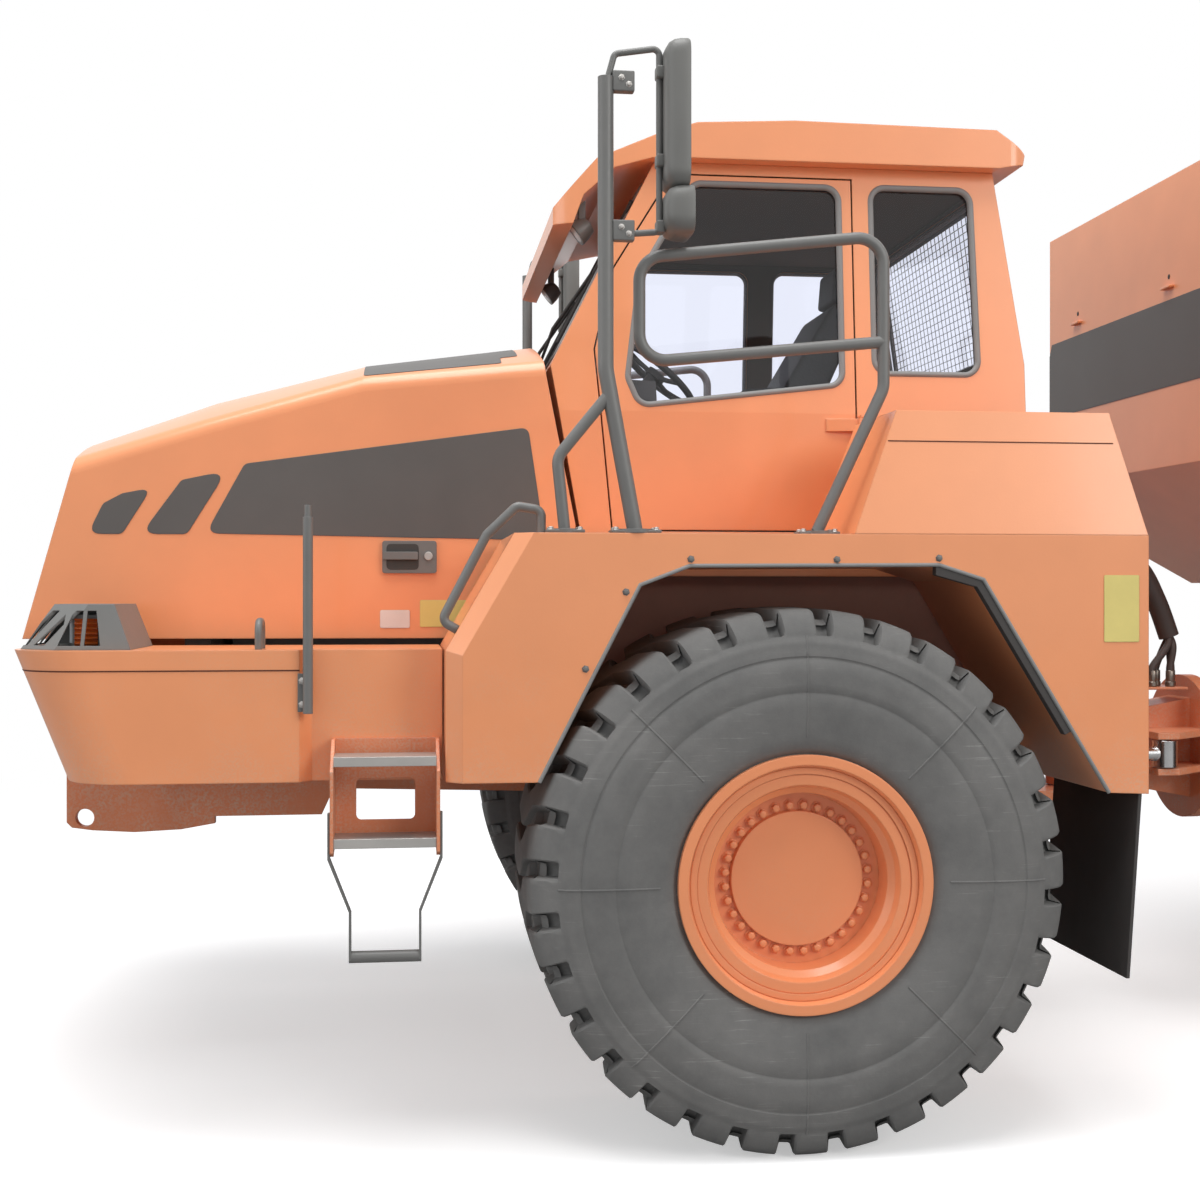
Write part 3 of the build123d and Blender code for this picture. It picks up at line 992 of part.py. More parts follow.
with BuildPart() as rear_frame:
    rod((STEER_X + COLLAR[0], 0, RING_Z), (STEER_X + COLLAR[1], 0, RING_Z), COLLAR_RADIUS)
    plate([(REAR_FRONT + 80, 1010), (REAR_FRONT + 80, 1430), (COLLAR_BACK, 1430), (COLLAR_BACK, 1010)],
          side_plane(FRONT_AXLE_X, 0), REAR_RAIL_OUTER, both=True)
    rod((STEER_X + COLLAR[0] - 5, 0, RING_Z), (STEER_X + COLLAR[1] + 5, 0, RING_Z),
        SPIGOT_RADIUS + PIN_CLEARANCE,
        mode=Mode.SUBTRACT)
    for side in (-1, 1):
        plate(REAR_RAIL_SIDE, side_plane(FRONT_AXLE_X, side * (REAR_RAIL_INNER + REAR_RAIL_OUTER) / 2),
              (REAR_RAIL_OUTER - REAR_RAIL_INNER) / 2, both=True)
        # saddle down to the axle
        plate([(BOGIE - AXLE_SADDLE, 1400), (BOGIE + AXLE_SADDLE, 1400), (BOGIE + 140, 1090 + SEAT),
               (BOGIE - 140, 1090 + SEAT)],
              side_plane(FRONT_AXLE_X, side * (REAR_RAIL_INNER + REAR_RAIL_OUTER) / 2),
              (REAR_RAIL_OUTER - REAR_RAIL_INNER) / 2,
              both=True)
        # foot pin of the tipping cylinder
        rod((FRONT_AXLE_X + TIP_BASE[0], side * (REAR_RAIL_OUTER - 10), TIP_BASE[1]),
            (FRONT_AXLE_X + TIP_BASE[0], side * (TIP_CYLINDER_Y + 75), TIP_BASE[1]), TIP_FOOT_PIN_RADIUS)
        plate([(TIP_BASE[0] - 140, 1200), (TIP_BASE[0] - 60, 940), (TIP_BASE[0] + 60, 940),
               (TIP_BASE[0] + 200, 1330)],
              side_plane(FRONT_AXLE_X, side * (REAR_RAIL_OUTER - 20)), 20, both=True)
    for x, z in ((3050, 1350), (4500, 1500), (6300, 1560)):
        rod((FRONT_AXLE_X + x, -REAR_RAIL_INNER - 10, z), (FRONT_AXLE_X + x, REAR_RAIL_INNER + 10, z), 90)
    # tipping shaft
    rod((TIP_X, -REAR_RAIL_OUTER - 85, TIP_PIN_Z), (TIP_X, REAR_RAIL_OUTER + 85, TIP_PIN_Z), TIP_PIN_RADIUS)
finish(rear_frame, "rear_frame")

# ------------------------------------------------------------------ rear axle and bogie beams
# One axle under the middle of the bogie carries a gear-case beam on each side, with a wheel at either end.
REAR_AXLE_RADIUS = 152
BEAM_INNER_Y = 610
BEAM_OUTER_Y = 860
BEAM_END_RADIUS = 215
with BuildPart() as rear_axle:
    rod((BOGIE_X, -BEAM_INNER_Y + SEAT, TYRE_RADIUS), (BOGIE_X, BEAM_INNER_Y - SEAT, TYRE_RADIUS),
        REAR_AXLE_RADIUS)
    with Locations((BOGIE_X, 0, TYRE_RADIUS)):
        Sphere(245)
    for side in (-1, 1):
        plate([(BOGIE - 140, TYRE_RADIUS), (BOGIE + 140, TYRE_RADIUS), (BOGIE + 140, 1090),
               (BOGIE - 140, 1090)],
              side_plane(FRONT_AXLE_X, side * (REAR_RAIL_INNER + REAR_RAIL_OUTER) / 2), 45, both=True)
finish(rear_axle, "rear_axle")

with BuildPart() as bogie_beams:
    for side in (-1, 1):
        with BuildSketch(side_plane(BOGIE_X, side * (BEAM_INNER_Y + BEAM_OUTER_Y) / 2)) as beam:
            with Locations((0, TYRE_RADIUS)):
                SlotCenterToCenter(BOGIE_SPREAD, 2 * BEAM_END_RADIUS)
                Circle(BEAM_END_RADIUS + 40)
        extrude(beam.sketch, amount=(BEAM_OUTER_Y - BEAM_INNER_Y) / 2, both=True)
        for x in (FIRST_REAR_X, LAST_REAR_X):
            rod((x, side * (BEAM_OUTER_Y - 10), TYRE_RADIUS),
                (x, side * (TRACK_HALF + SPINDLE_END), TYRE_RADIUS), SPINDLE_RADIUS)
            rod((x, side * (BEAM_OUTER_Y - 10), TYRE_RADIUS),
                (x, side * (TRACK_HALF + HUB_BACK - 40), TYRE_RADIUS), 160)
finish(bogie_beams, "bogie_beams")

# ------------------------------------------------------------------ bed
# The tipping bed: a hopper of thick plate with an upright front wall whose corners are cut away, a floor that
# rises to an open tail, and side walls that flare out over the wheels.
BED_PLATE = 16
BED_FRONT = 2080
BED_CORNER = (1110, 520)                # half width of the front wall, and how far back its cut corners run
BED_HALF = 1650
BED_TOP_Z = 3805
BED_SIDE_TOP_Z = 3230
BED_FLOOR_Z = 1985
BED_FLOOR_HALF = 960
BED_FLARE_Z = 2760
TAIL = TAIL_X - FRONT_AXLE_X
BED_KICK = 6950                         # where the floor starts to rise to the tail
BED_TAIL_Z = 2330
BED_SIDE = [
    (BED_FRONT, 2500), (BED_FRONT, BED_TOP_Z), (2900, BED_TOP_Z), (3300, BED_SIDE_TOP_Z),
    (7560, BED_SIDE_TOP_Z - 60),
    (TAIL, BED_TAIL_Z + 150), (TAIL, BED_TAIL_Z), (BED_KICK, BED_FLOOR_Z), (2800, BED_FLOOR_Z),
]
BED_SECTION = [
    (-BED_FLOOR_HALF, BED_FLOOR_Z), (-BED_HALF, BED_FLARE_Z), (-BED_HALF, 4000), (BED_HALF, 4000),
    (BED_HALF, BED_FLARE_Z),
    (BED_FLOOR_HALF, BED_FLOOR_Z),
]
BED_HINGE_Y = (REAR_RAIL_OUTER + MOVING_GAP, REAR_RAIL_OUTER + 76)


def floor_height(x):
    """Height of the floor's underside where it rises to the tail."""
    return BED_FLOOR_Z + (BED_TAIL_Z - BED_FLOOR_Z) * (x - BED_KICK) / (TAIL - BED_KICK)


def bed_block(inset):
    """The bed as a solid, its plates' thickness drawn in by inset; open above and at the tail when inset."""
    with BuildPart() as length_cut:
        with BuildSketch(side_plane(FRONT_AXLE_X, 0)):
            Polygon(*BED_SIDE, align=None)
            if inset:
                offset(amount=-inset, kind=Kind.INTERSECTION)
                Polygon((BED_FRONT + inset, 3000), (BED_FRONT + inset, 4200), (9000, 4200), (9000, 3000),
                        align=None)
                Polygon(*[(x, floor_height(x) + inset * 1.04) for x in (TAIL - 500, TAIL + 300)],
                        (TAIL + 300, 4200), (TAIL - 500, 4200), align=None)
        extrude(amount=BED_HALF + 50, both=True)
    with BuildPart() as plan_cut:
        with BuildSketch(plan_plane(FRONT_AXLE_X, 1800)):
            Polygon((BED_FRONT, -BED_CORNER[0]), (BED_FRONT + BED_CORNER[1], -BED_HALF),
                    (TAIL + 500, -BED_HALF),
                    (TAIL + 500, BED_HALF), (BED_FRONT + BED_CORNER[1], BED_HALF),
                    (BED_FRONT, BED_CORNER[0]), align=None)
            if inset:
                offset(amount=-inset, kind=Kind.INTERSECTION)
        extrude(amount=2600)
        add(length_cut.part, mode=Mode.INTERSECT)
    with BuildPart() as block:
        with BuildSketch(cross_plane(FRONT_AXLE_X + 1900)):
            Polygon(*BED_SECTION, align=None)
            if inset:
                offset(amount=-inset, kind=Kind.INTERSECTION)
        extrude(amount=7500)
        add(plan_cut.part, mode=Mode.INTERSECT)
    return block.part


bed_outer = bed_block(0)
bed_inner = bed_block(BED_PLATE)
EYE_GAP_HALF = 60
with BuildPart() as bed:
    add(bed_outer)
    add(bed_inner, mode=Mode.SUBTRACT)
    for side in (-1, 1):
        # runners that rest on the frame's rails, and the hinge ears outside them
        plate([(3250, REAR_RAIL_TOP + MOVING_GAP), (6900, REAR_RAIL_TOP + MOVING_GAP),
               (6900, BED_FLOOR_Z + 5), (3100, BED_FLOOR_Z + 5)],
              side_plane(FRONT_AXLE_X, side * (REAR_RAIL_INNER + REAR_RAIL_OUTER) / 2), 35, both=True)
        ear_middle = side * (BED_HINGE_Y[0] + BED_HINGE_Y[1]) / 2
        plate([(TIP - 110, TIP_PIN_Z), (TIP - 330, BED_FLOOR_Z + 5), (TIP + 170, BED_FLOOR_Z + 5),
               (TIP + 110, TIP_PIN_Z),
               (TIP + 60, TIP_PIN_Z - 95), (TIP - 60, TIP_PIN_Z - 95)],
              side_plane(FRONT_AXLE_X, ear_middle), (BED_HINGE_Y[1] - BED_HINGE_Y[0]) / 2, both=True)
        # paired ears for the tipping cylinder's rod
        for y in (TIP_CYLINDER_Y - EYE_GAP_HALF - 15, TIP_CYLINDER_Y + EYE_GAP_HALF + 15):
            plate([(TIP_EYE[0] - 90, TIP_EYE[1] - 40), (TIP_EYE[0] - 170, BED_FLOOR_Z + 5),
                   (TIP_EYE[0] + 170, BED_FLOOR_Z + 5),
                   (TIP_EYE[0] + 90, TIP_EYE[1] - 40), (TIP_EYE[0] + 40, TIP_EYE[1] - 85),
                   (TIP_EYE[0] - 40, TIP_EYE[1] - 85)],
                  side_plane(FRONT_AXLE_X, side * y), 15, both=True)
    rod((TIP_X, -900, TIP_PIN_Z), (TIP_X, 900, TIP_PIN_Z), TIP_PIN_RADIUS + PIN_CLEARANCE,
        mode=Mode.SUBTRACT)
finish(bed, "bed")

# Top rail and upright ribs that stiffen the side walls outside.
RIB_DEPTH = 70
RIB_WIDTH = 110
with BuildPart() as bed_ribs:
    for side in (-1, 1):
        for x in (3500, 4350, 5200, 6050, 6900):
            plate([(side * (BED_HALF + SEAT), BED_FLARE_Z + 20),
                   (side * (BED_HALF + RIB_DEPTH), BED_FLARE_Z + 60),
                   (side * (BED_HALF + RIB_DEPTH), BED_SIDE_TOP_Z - 150),
                   (side * (BED_HALF + SEAT), BED_SIDE_TOP_Z - 150)],
                  cross_plane(FRONT_AXLE_X + x - RIB_WIDTH / 2), RIB_WIDTH)
        plate([(3320, BED_SIDE_TOP_Z - 150 + SEAT), (3320, BED_SIDE_TOP_Z - 20),
               (7500, BED_SIDE_TOP_Z - 80), (7500, BED_SIDE_TOP_Z - 150 + SEAT)],
              side_plane(FRONT_AXLE_X, side * (BED_HALF + SEAT + RIB_DEPTH / 2)), RIB_DEPTH / 2, both=True)
finish(bed_ribs, "bed_ribs")

# ------------------------------------------------------------------ cylinders
# Each hydraulic cylinder is a barrel that swings on its foot pin and a rod that slides in it. A bore runs the
# barrel's length for the rod, with a piston clear of its wall.


def cylinder(foot, eye, axis, barrel_radius, rod_radius, barrel_length, ram_start, foot_pin, eye_pin,
             eye_radius,
             eye_half, name, side_name):
    """Barrel and rod between a foot pin and an eye; both pins are parallel to axis."""
    foot, eye, axis = Vector(*foot), Vector(*eye), Vector(*axis)
    reach = (eye - foot).normalized()
    mouth = foot + reach * barrel_length
    bore_start = foot + reach * (eye_radius + 30)
    with BuildPart() as barrel:
        rod(foot + reach * (eye_radius - 15), mouth, barrel_radius)
        rod(foot - axis * eye_half, foot + axis * eye_half, eye_radius)
        rod(foot - axis * (eye_half + 5), foot + axis * (eye_half + 5), foot_pin + PIN_CLEARANCE,
            mode=Mode.SUBTRACT)
        rod(bore_start, mouth + reach * 5, rod_radius + PIN_CLEARANCE, mode=Mode.SUBTRACT)
    finish(barrel, f"{name}_barrel_{side_name}")
    with BuildPart() as ram:
        rod(foot + reach * ram_start, eye - reach * (eye_radius - 15), rod_radius)
        rod(eye - axis * eye_half, eye + axis * eye_half, eye_radius)
        rod(eye - axis * (eye_half + 5), eye + axis * (eye_half + 5), eye_pin, mode=Mode.SUBTRACT)
    finish(ram, f"{name}_rod_{side_name}")


for side_name, side in (("left", -1), ("right", 1)):
    cylinder((FRONT_AXLE_X + TIP_BASE[0], side * TIP_CYLINDER_Y, TIP_BASE[1]),
             (FRONT_AXLE_X + TIP_EYE[0], side * TIP_CYLINDER_Y, TIP_EYE[1]),
             (0, 1, 0), 90, 48, 2420, 125, TIP_FOOT_PIN_RADIUS, 35, 75, EYE_GAP_HALF - MOVING_GAP, "tip",
             side_name)
    cylinder((FRONT_AXLE_X + STEER_LUG[0], side * STEER_LUG[1], STEER_CYLINDER_Z),
             (STEER_X + STEER_EYE[0], side * STEER_EYE[1], STEER_CYLINDER_Z),
             (0, 0, 1), 52, 32, 850, 455, CYLINDER_PIN_RADIUS, 28, 56, LUG_GAP_HALF - MOVING_GAP, "steer",
             side_name)
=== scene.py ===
import math

import bmesh
import bpy
import mathutils.geometry
from mathutils import Matrix, Vector
from mathutils.bvhtree import BVHTree


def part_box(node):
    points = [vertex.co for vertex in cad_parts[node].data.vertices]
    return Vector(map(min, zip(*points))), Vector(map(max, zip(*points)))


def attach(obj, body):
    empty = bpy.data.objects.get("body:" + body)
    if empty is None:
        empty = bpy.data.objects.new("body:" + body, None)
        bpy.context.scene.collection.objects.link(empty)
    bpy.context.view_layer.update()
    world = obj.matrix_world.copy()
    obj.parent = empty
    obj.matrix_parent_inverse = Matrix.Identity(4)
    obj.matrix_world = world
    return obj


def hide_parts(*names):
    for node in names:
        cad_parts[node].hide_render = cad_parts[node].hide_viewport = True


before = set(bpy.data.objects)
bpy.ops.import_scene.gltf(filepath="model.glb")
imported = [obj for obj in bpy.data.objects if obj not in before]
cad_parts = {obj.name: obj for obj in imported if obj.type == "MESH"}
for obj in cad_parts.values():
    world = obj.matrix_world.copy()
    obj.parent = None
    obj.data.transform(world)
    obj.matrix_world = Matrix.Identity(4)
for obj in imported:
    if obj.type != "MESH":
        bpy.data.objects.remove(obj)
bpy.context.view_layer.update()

# ------------------------------------------------------------------ viewpoint and studio
# The truck stands on a pale floor.  Two broad soft lamps light it, one from overhead and one from high on its
# left, with a weaker one from the front and an even, nearly white surround.  Lengths are metres, and +X runs
# from nose to tail.
low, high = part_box("tyre_front_left")
FRONT_AXLE_X = (low.x + high.x) / 2

camera_data = bpy.data.cameras.new("camera")
camera_data.sensor_width = 36.0
camera_data.lens = 47.88
camera_data.shift_y = -0.0017
camera = bpy.data.objects.new("camera", camera_data)
camera.location = (FRONT_AXLE_X - 1.359, -7.046, 1.906)
camera.rotation_euler = (math.radians(90), 0, math.radians(-7.12))
bpy.context.scene.collection.objects.link(camera)
bpy.context.scene.camera = camera
bpy.context.scene.view_settings.view_transform = "Standard"


def linear(hex_value):
    """The linear colour that a shader needs for an sRGB colour written as six hex digits."""
    channels = [int(hex_value[i:i + 2], 16) / 255 for i in (0, 2, 4)]
    return tuple(c / 12.92 if c <= 0.04045 else ((c + 0.055) / 1.055) ** 2.4 for c in channels) + (1.0,)


def add_node(tree, kind, settings=None, inputs=None):
    """Add a shader node; inputs are constants, or output sockets of other nodes to link from."""
    made = tree.nodes.new(kind)
    for name, value in (settings or {}).items():
        setattr(made, name, value)
    for name, value in (inputs or {}).items():
        if isinstance(value, bpy.types.NodeSocket):
            tree.links.new(value, made.inputs[name])
        else:
            made.inputs[name].default_value = value
    return made


def add_lamp(name, place, aim, size, power, colour):
    """A square area lamp at place, turned to face aim."""
    data = bpy.data.lights.new(name, "AREA")
    data.size = size
    data.energy = power
    data.color = linear(colour)[:3]
    lamp = bpy.data.objects.new(name, data)
    lamp.location = place
    lamp.rotation_euler = (Vector(aim) - Vector(place)).to_track_quat("-Z", "Y").to_euler()
    bpy.context.scene.collection.objects.link(lamp)


def empty_material(name):
    """A new material with nothing in it yet, and its node tree."""
    material = bpy.data.materials.new(name)
    material.use_nodes = True
    material.node_tree.nodes.clear()
    return material, material.node_tree


add_lamp("key_lamp", (8, -14, 9), (-1, 0, 1.5), 7, 1100, "FFFDFA")
add_lamp("top_lamp", (-4, -3, 14), (-1, 0, 1), 9, 1600, "FFFFFF")
add_lamp("front_lamp", (-15, -4, 5), (-2, 0, 1.5), 6, 320, "FFFFFF")

SURROUND_STRENGTH = 0.46
world = bpy.data.worlds.new("studio")
bpy.context.scene.world = world
world.use_nodes = True
world.node_tree.nodes.clear()
rays = add_node(world.node_tree, "ShaderNodeLightPath")
seen = add_node(world.node_tree, "ShaderNodeMath", {"operation": "MAXIMUM"},
                {0: rays.outputs["Is Camera Ray"], 1: rays.outputs["Is Transmission Ray"]})
seen = add_node(world.node_tree, "ShaderNodeMath", {"operation": "MAXIMUM"},
                {0: seen.outputs[0], 1: rays.outputs["Is Glossy Ray"]})
surround = add_node(world.node_tree, "ShaderNodeBackground", None,
                    {"Color": linear("F4F6FA"), "Strength": SURROUND_STRENGTH})
backdrop = add_node(world.node_tree, "ShaderNodeBackground", None, {"Color": (1, 1, 1, 1), "Strength": 1.0})
choice = add_node(world.node_tree, "ShaderNodeMixShader", None,
                  {0: seen.outputs[0], 1: surround.outputs[0], 2: backdrop.outputs[0]})
add_node(world.node_tree, "ShaderNodeOutputWorld", None, {"Surface": choice.outputs[0]})

FLOOR_HALF = 80
FLOOR_LIFT = 0.44
FLOOR_GREY = 0.40
FADE_FROM, FADE_TO = 7.0, 13.0
floor_corners = [(-FLOOR_HALF, -FLOOR_HALF, 0), (FLOOR_HALF, -FLOOR_HALF, 0), (FLOOR_HALF, FLOOR_HALF, 0),
                 (-FLOOR_HALF, FLOOR_HALF, 0)]
floor_mesh = bpy.data.meshes.new("floor")
floor_mesh.from_pydata(floor_corners, [], [(0, 1, 2, 3)])
floor = bpy.data.objects.new("floor", floor_mesh)
bpy.context.scene.collection.objects.link(floor)
floor_paint, tree = empty_material("floor_paint")
rays = add_node(tree, "ShaderNodeLightPath")
seen = add_node(tree, "ShaderNodeMath", {"operation": "MAXIMUM"},
                {0: rays.outputs["Is Camera Ray"], 1: rays.outputs["Is Transmission Ray"]})
lift = add_node(tree, "ShaderNodeMath", {"operation": "MULTIPLY"}, {0: seen.outputs[0], 1: FLOOR_LIFT})
# for bounced light the floor counts as mid grey, so undersides stay dark
grey = add_node(tree, "ShaderNodeMath", {"operation": "MULTIPLY_ADD"},
                {0: seen.outputs[0], 1: FLOOR_GREY, 2: FLOOR_GREY}).outputs[0]
matt = add_node(tree, "ShaderNodeBsdfDiffuse", None, {"Color": grey})
glow = add_node(tree, "ShaderNodeEmission", None, {"Color": (1, 1, 1, 1), "Strength": lift.outputs[0]})
both = add_node(tree, "ShaderNodeAddShader", None, {0: matt.outputs[0], 1: glow.outputs[0]})
# the floor fades into the white surround, so that no horizon shows
place = add_node(tree, "ShaderNodeTexCoord").outputs["Object"]
reach = add_node(tree, "ShaderNodeVectorMath", {"operation": "LENGTH"}, {0: place}).outputs["Value"]
fade = add_node(tree, "ShaderNodeMapRange", {"interpolation_type": "SMOOTHSTEP"},
                {"Value": reach, "From Min": FADE_FROM, "From Max": FADE_TO}).outputs["Result"]
fade = add_node(tree, "ShaderNodeMath", {"operation": "MULTIPLY"}, {0: fade, 1: seen.outputs[0]}).outputs[0]
white = add_node(tree, "ShaderNodeEmission", None, {"Color": (1, 1, 1, 1), "Strength": 1.0})
faded = add_node(tree, "ShaderNodeMixShader", None, {0: fade, 1: both.outputs[0], 2: white.outputs[0]})
add_node(tree, "ShaderNodeOutputMaterial", None, {"Surface": faded.outputs[0]})
floor_mesh.materials.append(floor_paint)

# ------------------------------------------------------------------ paint
# Plates, hood and cab are steel and moulded panels sprayed with orange two-pack enamel.  It is smooth and
# fairly glossy, with a fine orange-peel ripple, and dust dulls it near the ground.


def painted(name, colour, dust_top, dust_amount, roughness, coat):
    """Sprayed enamel: a clear coat over colour, mottled slightly, and dusty below dust_top metres."""
    material, tree = empty_material(name)
    place = add_node(tree, "ShaderNodeTexCoord").outputs["Object"]
    height = add_node(tree, "ShaderNodeSeparateXYZ", None, {"Vector": place}).outputs["Z"]
    lowness = add_node(tree, "ShaderNodeMapRange", {"interpolation_type": "SMOOTHSTEP"},
                       {"Value": height, "From Min": dust_top, "From Max": dust_top - 1.1}).outputs["Result"]
    # mottling 250 mm across, as spraying and sun leave it
    mottle = add_node(tree, "ShaderNodeTexNoise", None,
                      {"Vector": place, "Scale": 4.0, "Detail": 3.0}).outputs["Fac"]
    base = add_node(tree, "ShaderNodeMix", {"data_type": "RGBA"})
    tree.links.new(mottle, base.inputs["Factor"])
    shade = linear(colour)
    base.inputs["A"].default_value = tuple(c * 0.93 for c in shade[:3]) + (1,)
    base.inputs["B"].default_value = tuple(min(1, c * 1.06) for c in shade[:3]) + (1,)
    # dust in clouds half a metre across, broken up by grains 8 mm across
    clouds = add_node(tree, "ShaderNodeTexNoise", None,
                      {"Vector": place, "Scale": 2.2, "Detail": 6.0, "Roughness": 0.7}).outputs["Fac"]
    grains = add_node(tree, "ShaderNodeTexNoise", None,
                      {"Vector": place, "Scale": 120.0, "Detail": 2.0}).outputs["Fac"]
    patch = add_node(tree, "ShaderNodeMapRange", None,
                     {"Value": clouds, "From Min": 0.42, "From Max": 0.68}).outputs["Result"]
    speck = add_node(tree, "ShaderNodeMapRange", None,
                     {"Value": grains, "From Min": 0.40, "From Max": 0.62}).outputs["Result"]
    speckled = add_node(tree, "ShaderNodeMath", {"operation": "MULTIPLY"}, {0: patch, 1: speck}).outputs[0]
    dusty = add_node(tree, "ShaderNodeMath", {"operation": "MULTIPLY"}, {0: speckled, 1: lowness}).outputs[0]
    dusty = add_node(tree, "ShaderNodeMath", {"operation": "MULTIPLY"}, {0: dusty, 1: dust_amount}).outputs[0]
    coloured = add_node(tree, "ShaderNodeMix", {"data_type": "RGBA"})
    tree.links.new(dusty, coloured.inputs["Factor"])
    tree.links.new(base.outputs["Result"], coloured.inputs["A"])
    coloured.inputs["B"].default_value = linear("C9B9A6")
    rough = add_node(tree, "ShaderNodeMapRange", None,
                     {"Value": dusty, "To Min": roughness, "To Max": 0.8}).outputs["Result"]
    # orange peel drawn 7 mm across, coarser than real so that it shows
    peel = add_node(tree, "ShaderNodeTexNoise", None,
                    {"Vector": place, "Scale": 140.0, "Detail": 1.0}).outputs["Fac"]
    rounded = add_node(tree, "ShaderNodeBevel", {"samples": 4}, {"Radius": 0.007}).outputs["Normal"]
    ripple = add_node(tree, "ShaderNodeBump", None,
                      {"Height": peel, "Strength": 0.05, "Distance": 0.004, "Normal": rounded})
    surface = add_node(tree, "ShaderNodeBsdfPrincipled", None,
                       {"Base Color": coloured.outputs["Result"], "Roughness": rough,
                        "Normal": ripple.outputs[0], "Coat Weight": coat, "Coat Roughness": 0.12, "IOR": 1.5})
    add_node(tree, "ShaderNodeOutputMaterial", None, {"Surface": surface.outputs[0]})
    return material


def finish_nodes(material, *names):
    """Give CAD nodes a material in place of the plain one they carry."""
    for name in names:
        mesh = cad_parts[name].data
        mesh.materials.clear()
        mesh.materials.append(material)


# panels keep their gloss, frame castings are sprayed thinner and duller, and rims are washed cleaner of dust
enamel_panels = painted("orange_enamel_on_panels", "ED9A69", 2.0, 0.55, 0.36, 0.35)
enamel_frame = painted("orange_enamel_on_frame", "DB8358", 2.0, 0.75, 0.45, 0.15)
enamel_rims = painted("orange_enamel_on_rims", "EE9564", 1.3, 0.25, 0.34, 0.3)
finish_nodes(enamel_panels, "bumper", "fender_left", "fender_right", "side_box_left", "side_box_right",
             "cab_shell", "cab_roof", "door", "hood", "bed", "bed_ribs")
finish_nodes(enamel_frame, "tractor_frame", "front_axle", "tow_plates", "ladder", "hitch", "rear_frame",
             "rear_axle", "bogie_beams")
finish_nodes(enamel_rims, *[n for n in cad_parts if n.startswith("rim_")])

# ------------------------------------------------------------------ coated steel, rubber and plastic
# Rails, posts and lamp guards are steel tube and plate with grey powder coating; mirrors, seals and the
# cab's inside are moulded.  All are matt to satin, with the fine grain that coating and moulding leave.


def moulded(name, colour, roughness, grain_scale, grain_depth, worn_colour=None, metallic=0.0):
    """A satin coating or moulding, mottled towards worn_colour where one is given.  grain_scale counts grains
    in a metre, so 300 is a grain of 3 mm: coarser than the real one, so that it shows."""
    material, tree = empty_material(name)
    place = add_node(tree, "ShaderNodeTexCoord").outputs["Object"]
    clouds = add_node(tree, "ShaderNodeTexNoise", None,
                      {"Vector": place, "Scale": 5.0, "Detail": 6.0, "Roughness": 0.65}).outputs["Fac"]
    shade = linear(colour)
    colours = add_node(tree, "ShaderNodeMix", {"data_type": "RGBA"})
    tree.links.new(clouds, colours.inputs["Factor"])
    colours.inputs["A"].default_value = tuple(c * 0.85 for c in shade[:3]) + (1,)
    lighter = tuple(c * 1.12 for c in shade[:3]) + (1,)
    colours.inputs["B"].default_value = linear(worn_colour) if worn_colour else lighter
    grain = add_node(tree, "ShaderNodeTexNoise", None,
                     {"Vector": place, "Scale": grain_scale, "Detail": 2.0}).outputs["Fac"]
    rounded = add_node(tree, "ShaderNodeBevel", {"samples": 4}, {"Radius": 0.004}).outputs["Normal"]
    bump = add_node(tree, "ShaderNodeBump", None,
                    {"Height": grain, "Strength": 0.35, "Distance": grain_depth,
                     "Normal": rounded}).outputs[0]
    rough = add_node(tree, "ShaderNodeMapRange", None,
                     {"Value": clouds, "To Min": roughness - 0.08,
                      "To Max": roughness + 0.1}).outputs["Result"]
    surface = add_node(tree, "ShaderNodeBsdfPrincipled", None,
                       {"Base Color": colours.outputs["Result"], "Roughness": rough, "Normal": bump,
                        "Metallic": metallic})
    add_node(tree, "ShaderNodeOutputMaterial", None, {"Surface": surface.outputs[0]})
    return material


# powder coating melts into an even satin skin, and moulded ABS is a little duller
powder_coat = moulded("grey_powder_coat", "6E6E6C", 0.42, 300.0, 0.0006)
mirror_plastic = moulded("grey_abs_mirror_shell", "6C6C69", 0.48, 260.0, 0.0006)
# rubber, grained polypropylene and woven cloth scatter the light, so they look soft and nearly matt
black_rubber = moulded("black_epdm_rubber", "403D3C", 0.62, 200.0, 0.0008, "3A3634")
cab_plastic = moulded("dark_grained_polypropylene", "4A4845", 0.6, 180.0, 0.0010)
seat_cloth = moulded("dark_seat_cloth", "3C3C3A", 0.85, 420.0, 0.0014)
# cast iron keeps the roughness of its sand mould under the paint
engine_iron = moulded("grey_painted_cast_iron", "5C5A57", 0.6, 90.0, 0.0015)
# ground chrome mirrors its surroundings, and extruded aluminium has a dull, dusty shine
bright_chrome = moulded("hard_chrome_rod", "D8D8D8", 0.16, 400.0, 0.0001, None, 1.0)
tread_aluminium = moulded("extruded_aluminium_tread", "B4B1AD", 0.42, 250.0, 0.0006, None, 0.75)
finish_nodes(powder_coat, "headlights", "ladder_stirrup", "handrails", "grab_rails", "mirror_posts",
             "hood_hinges", "grille", "steer_barrel_left", "steer_barrel_right", "tip_barrel_left",
             "tip_barrel_right")
finish_nodes(mirror_plastic, "mirrors")
finish_nodes(tread_aluminium, "ladder_treads")
finish_nodes(black_rubber, "mud_flaps")
finish_nodes(cab_plastic, "steering_wheel", "dashboard")
finish_nodes(seat_cloth, "seat")
finish_nodes(engine_iron, "engine")
finish_nodes(bright_chrome, "steer_rod_left", "steer_rod_right", "tip_rod_left", "tip_rod_right")

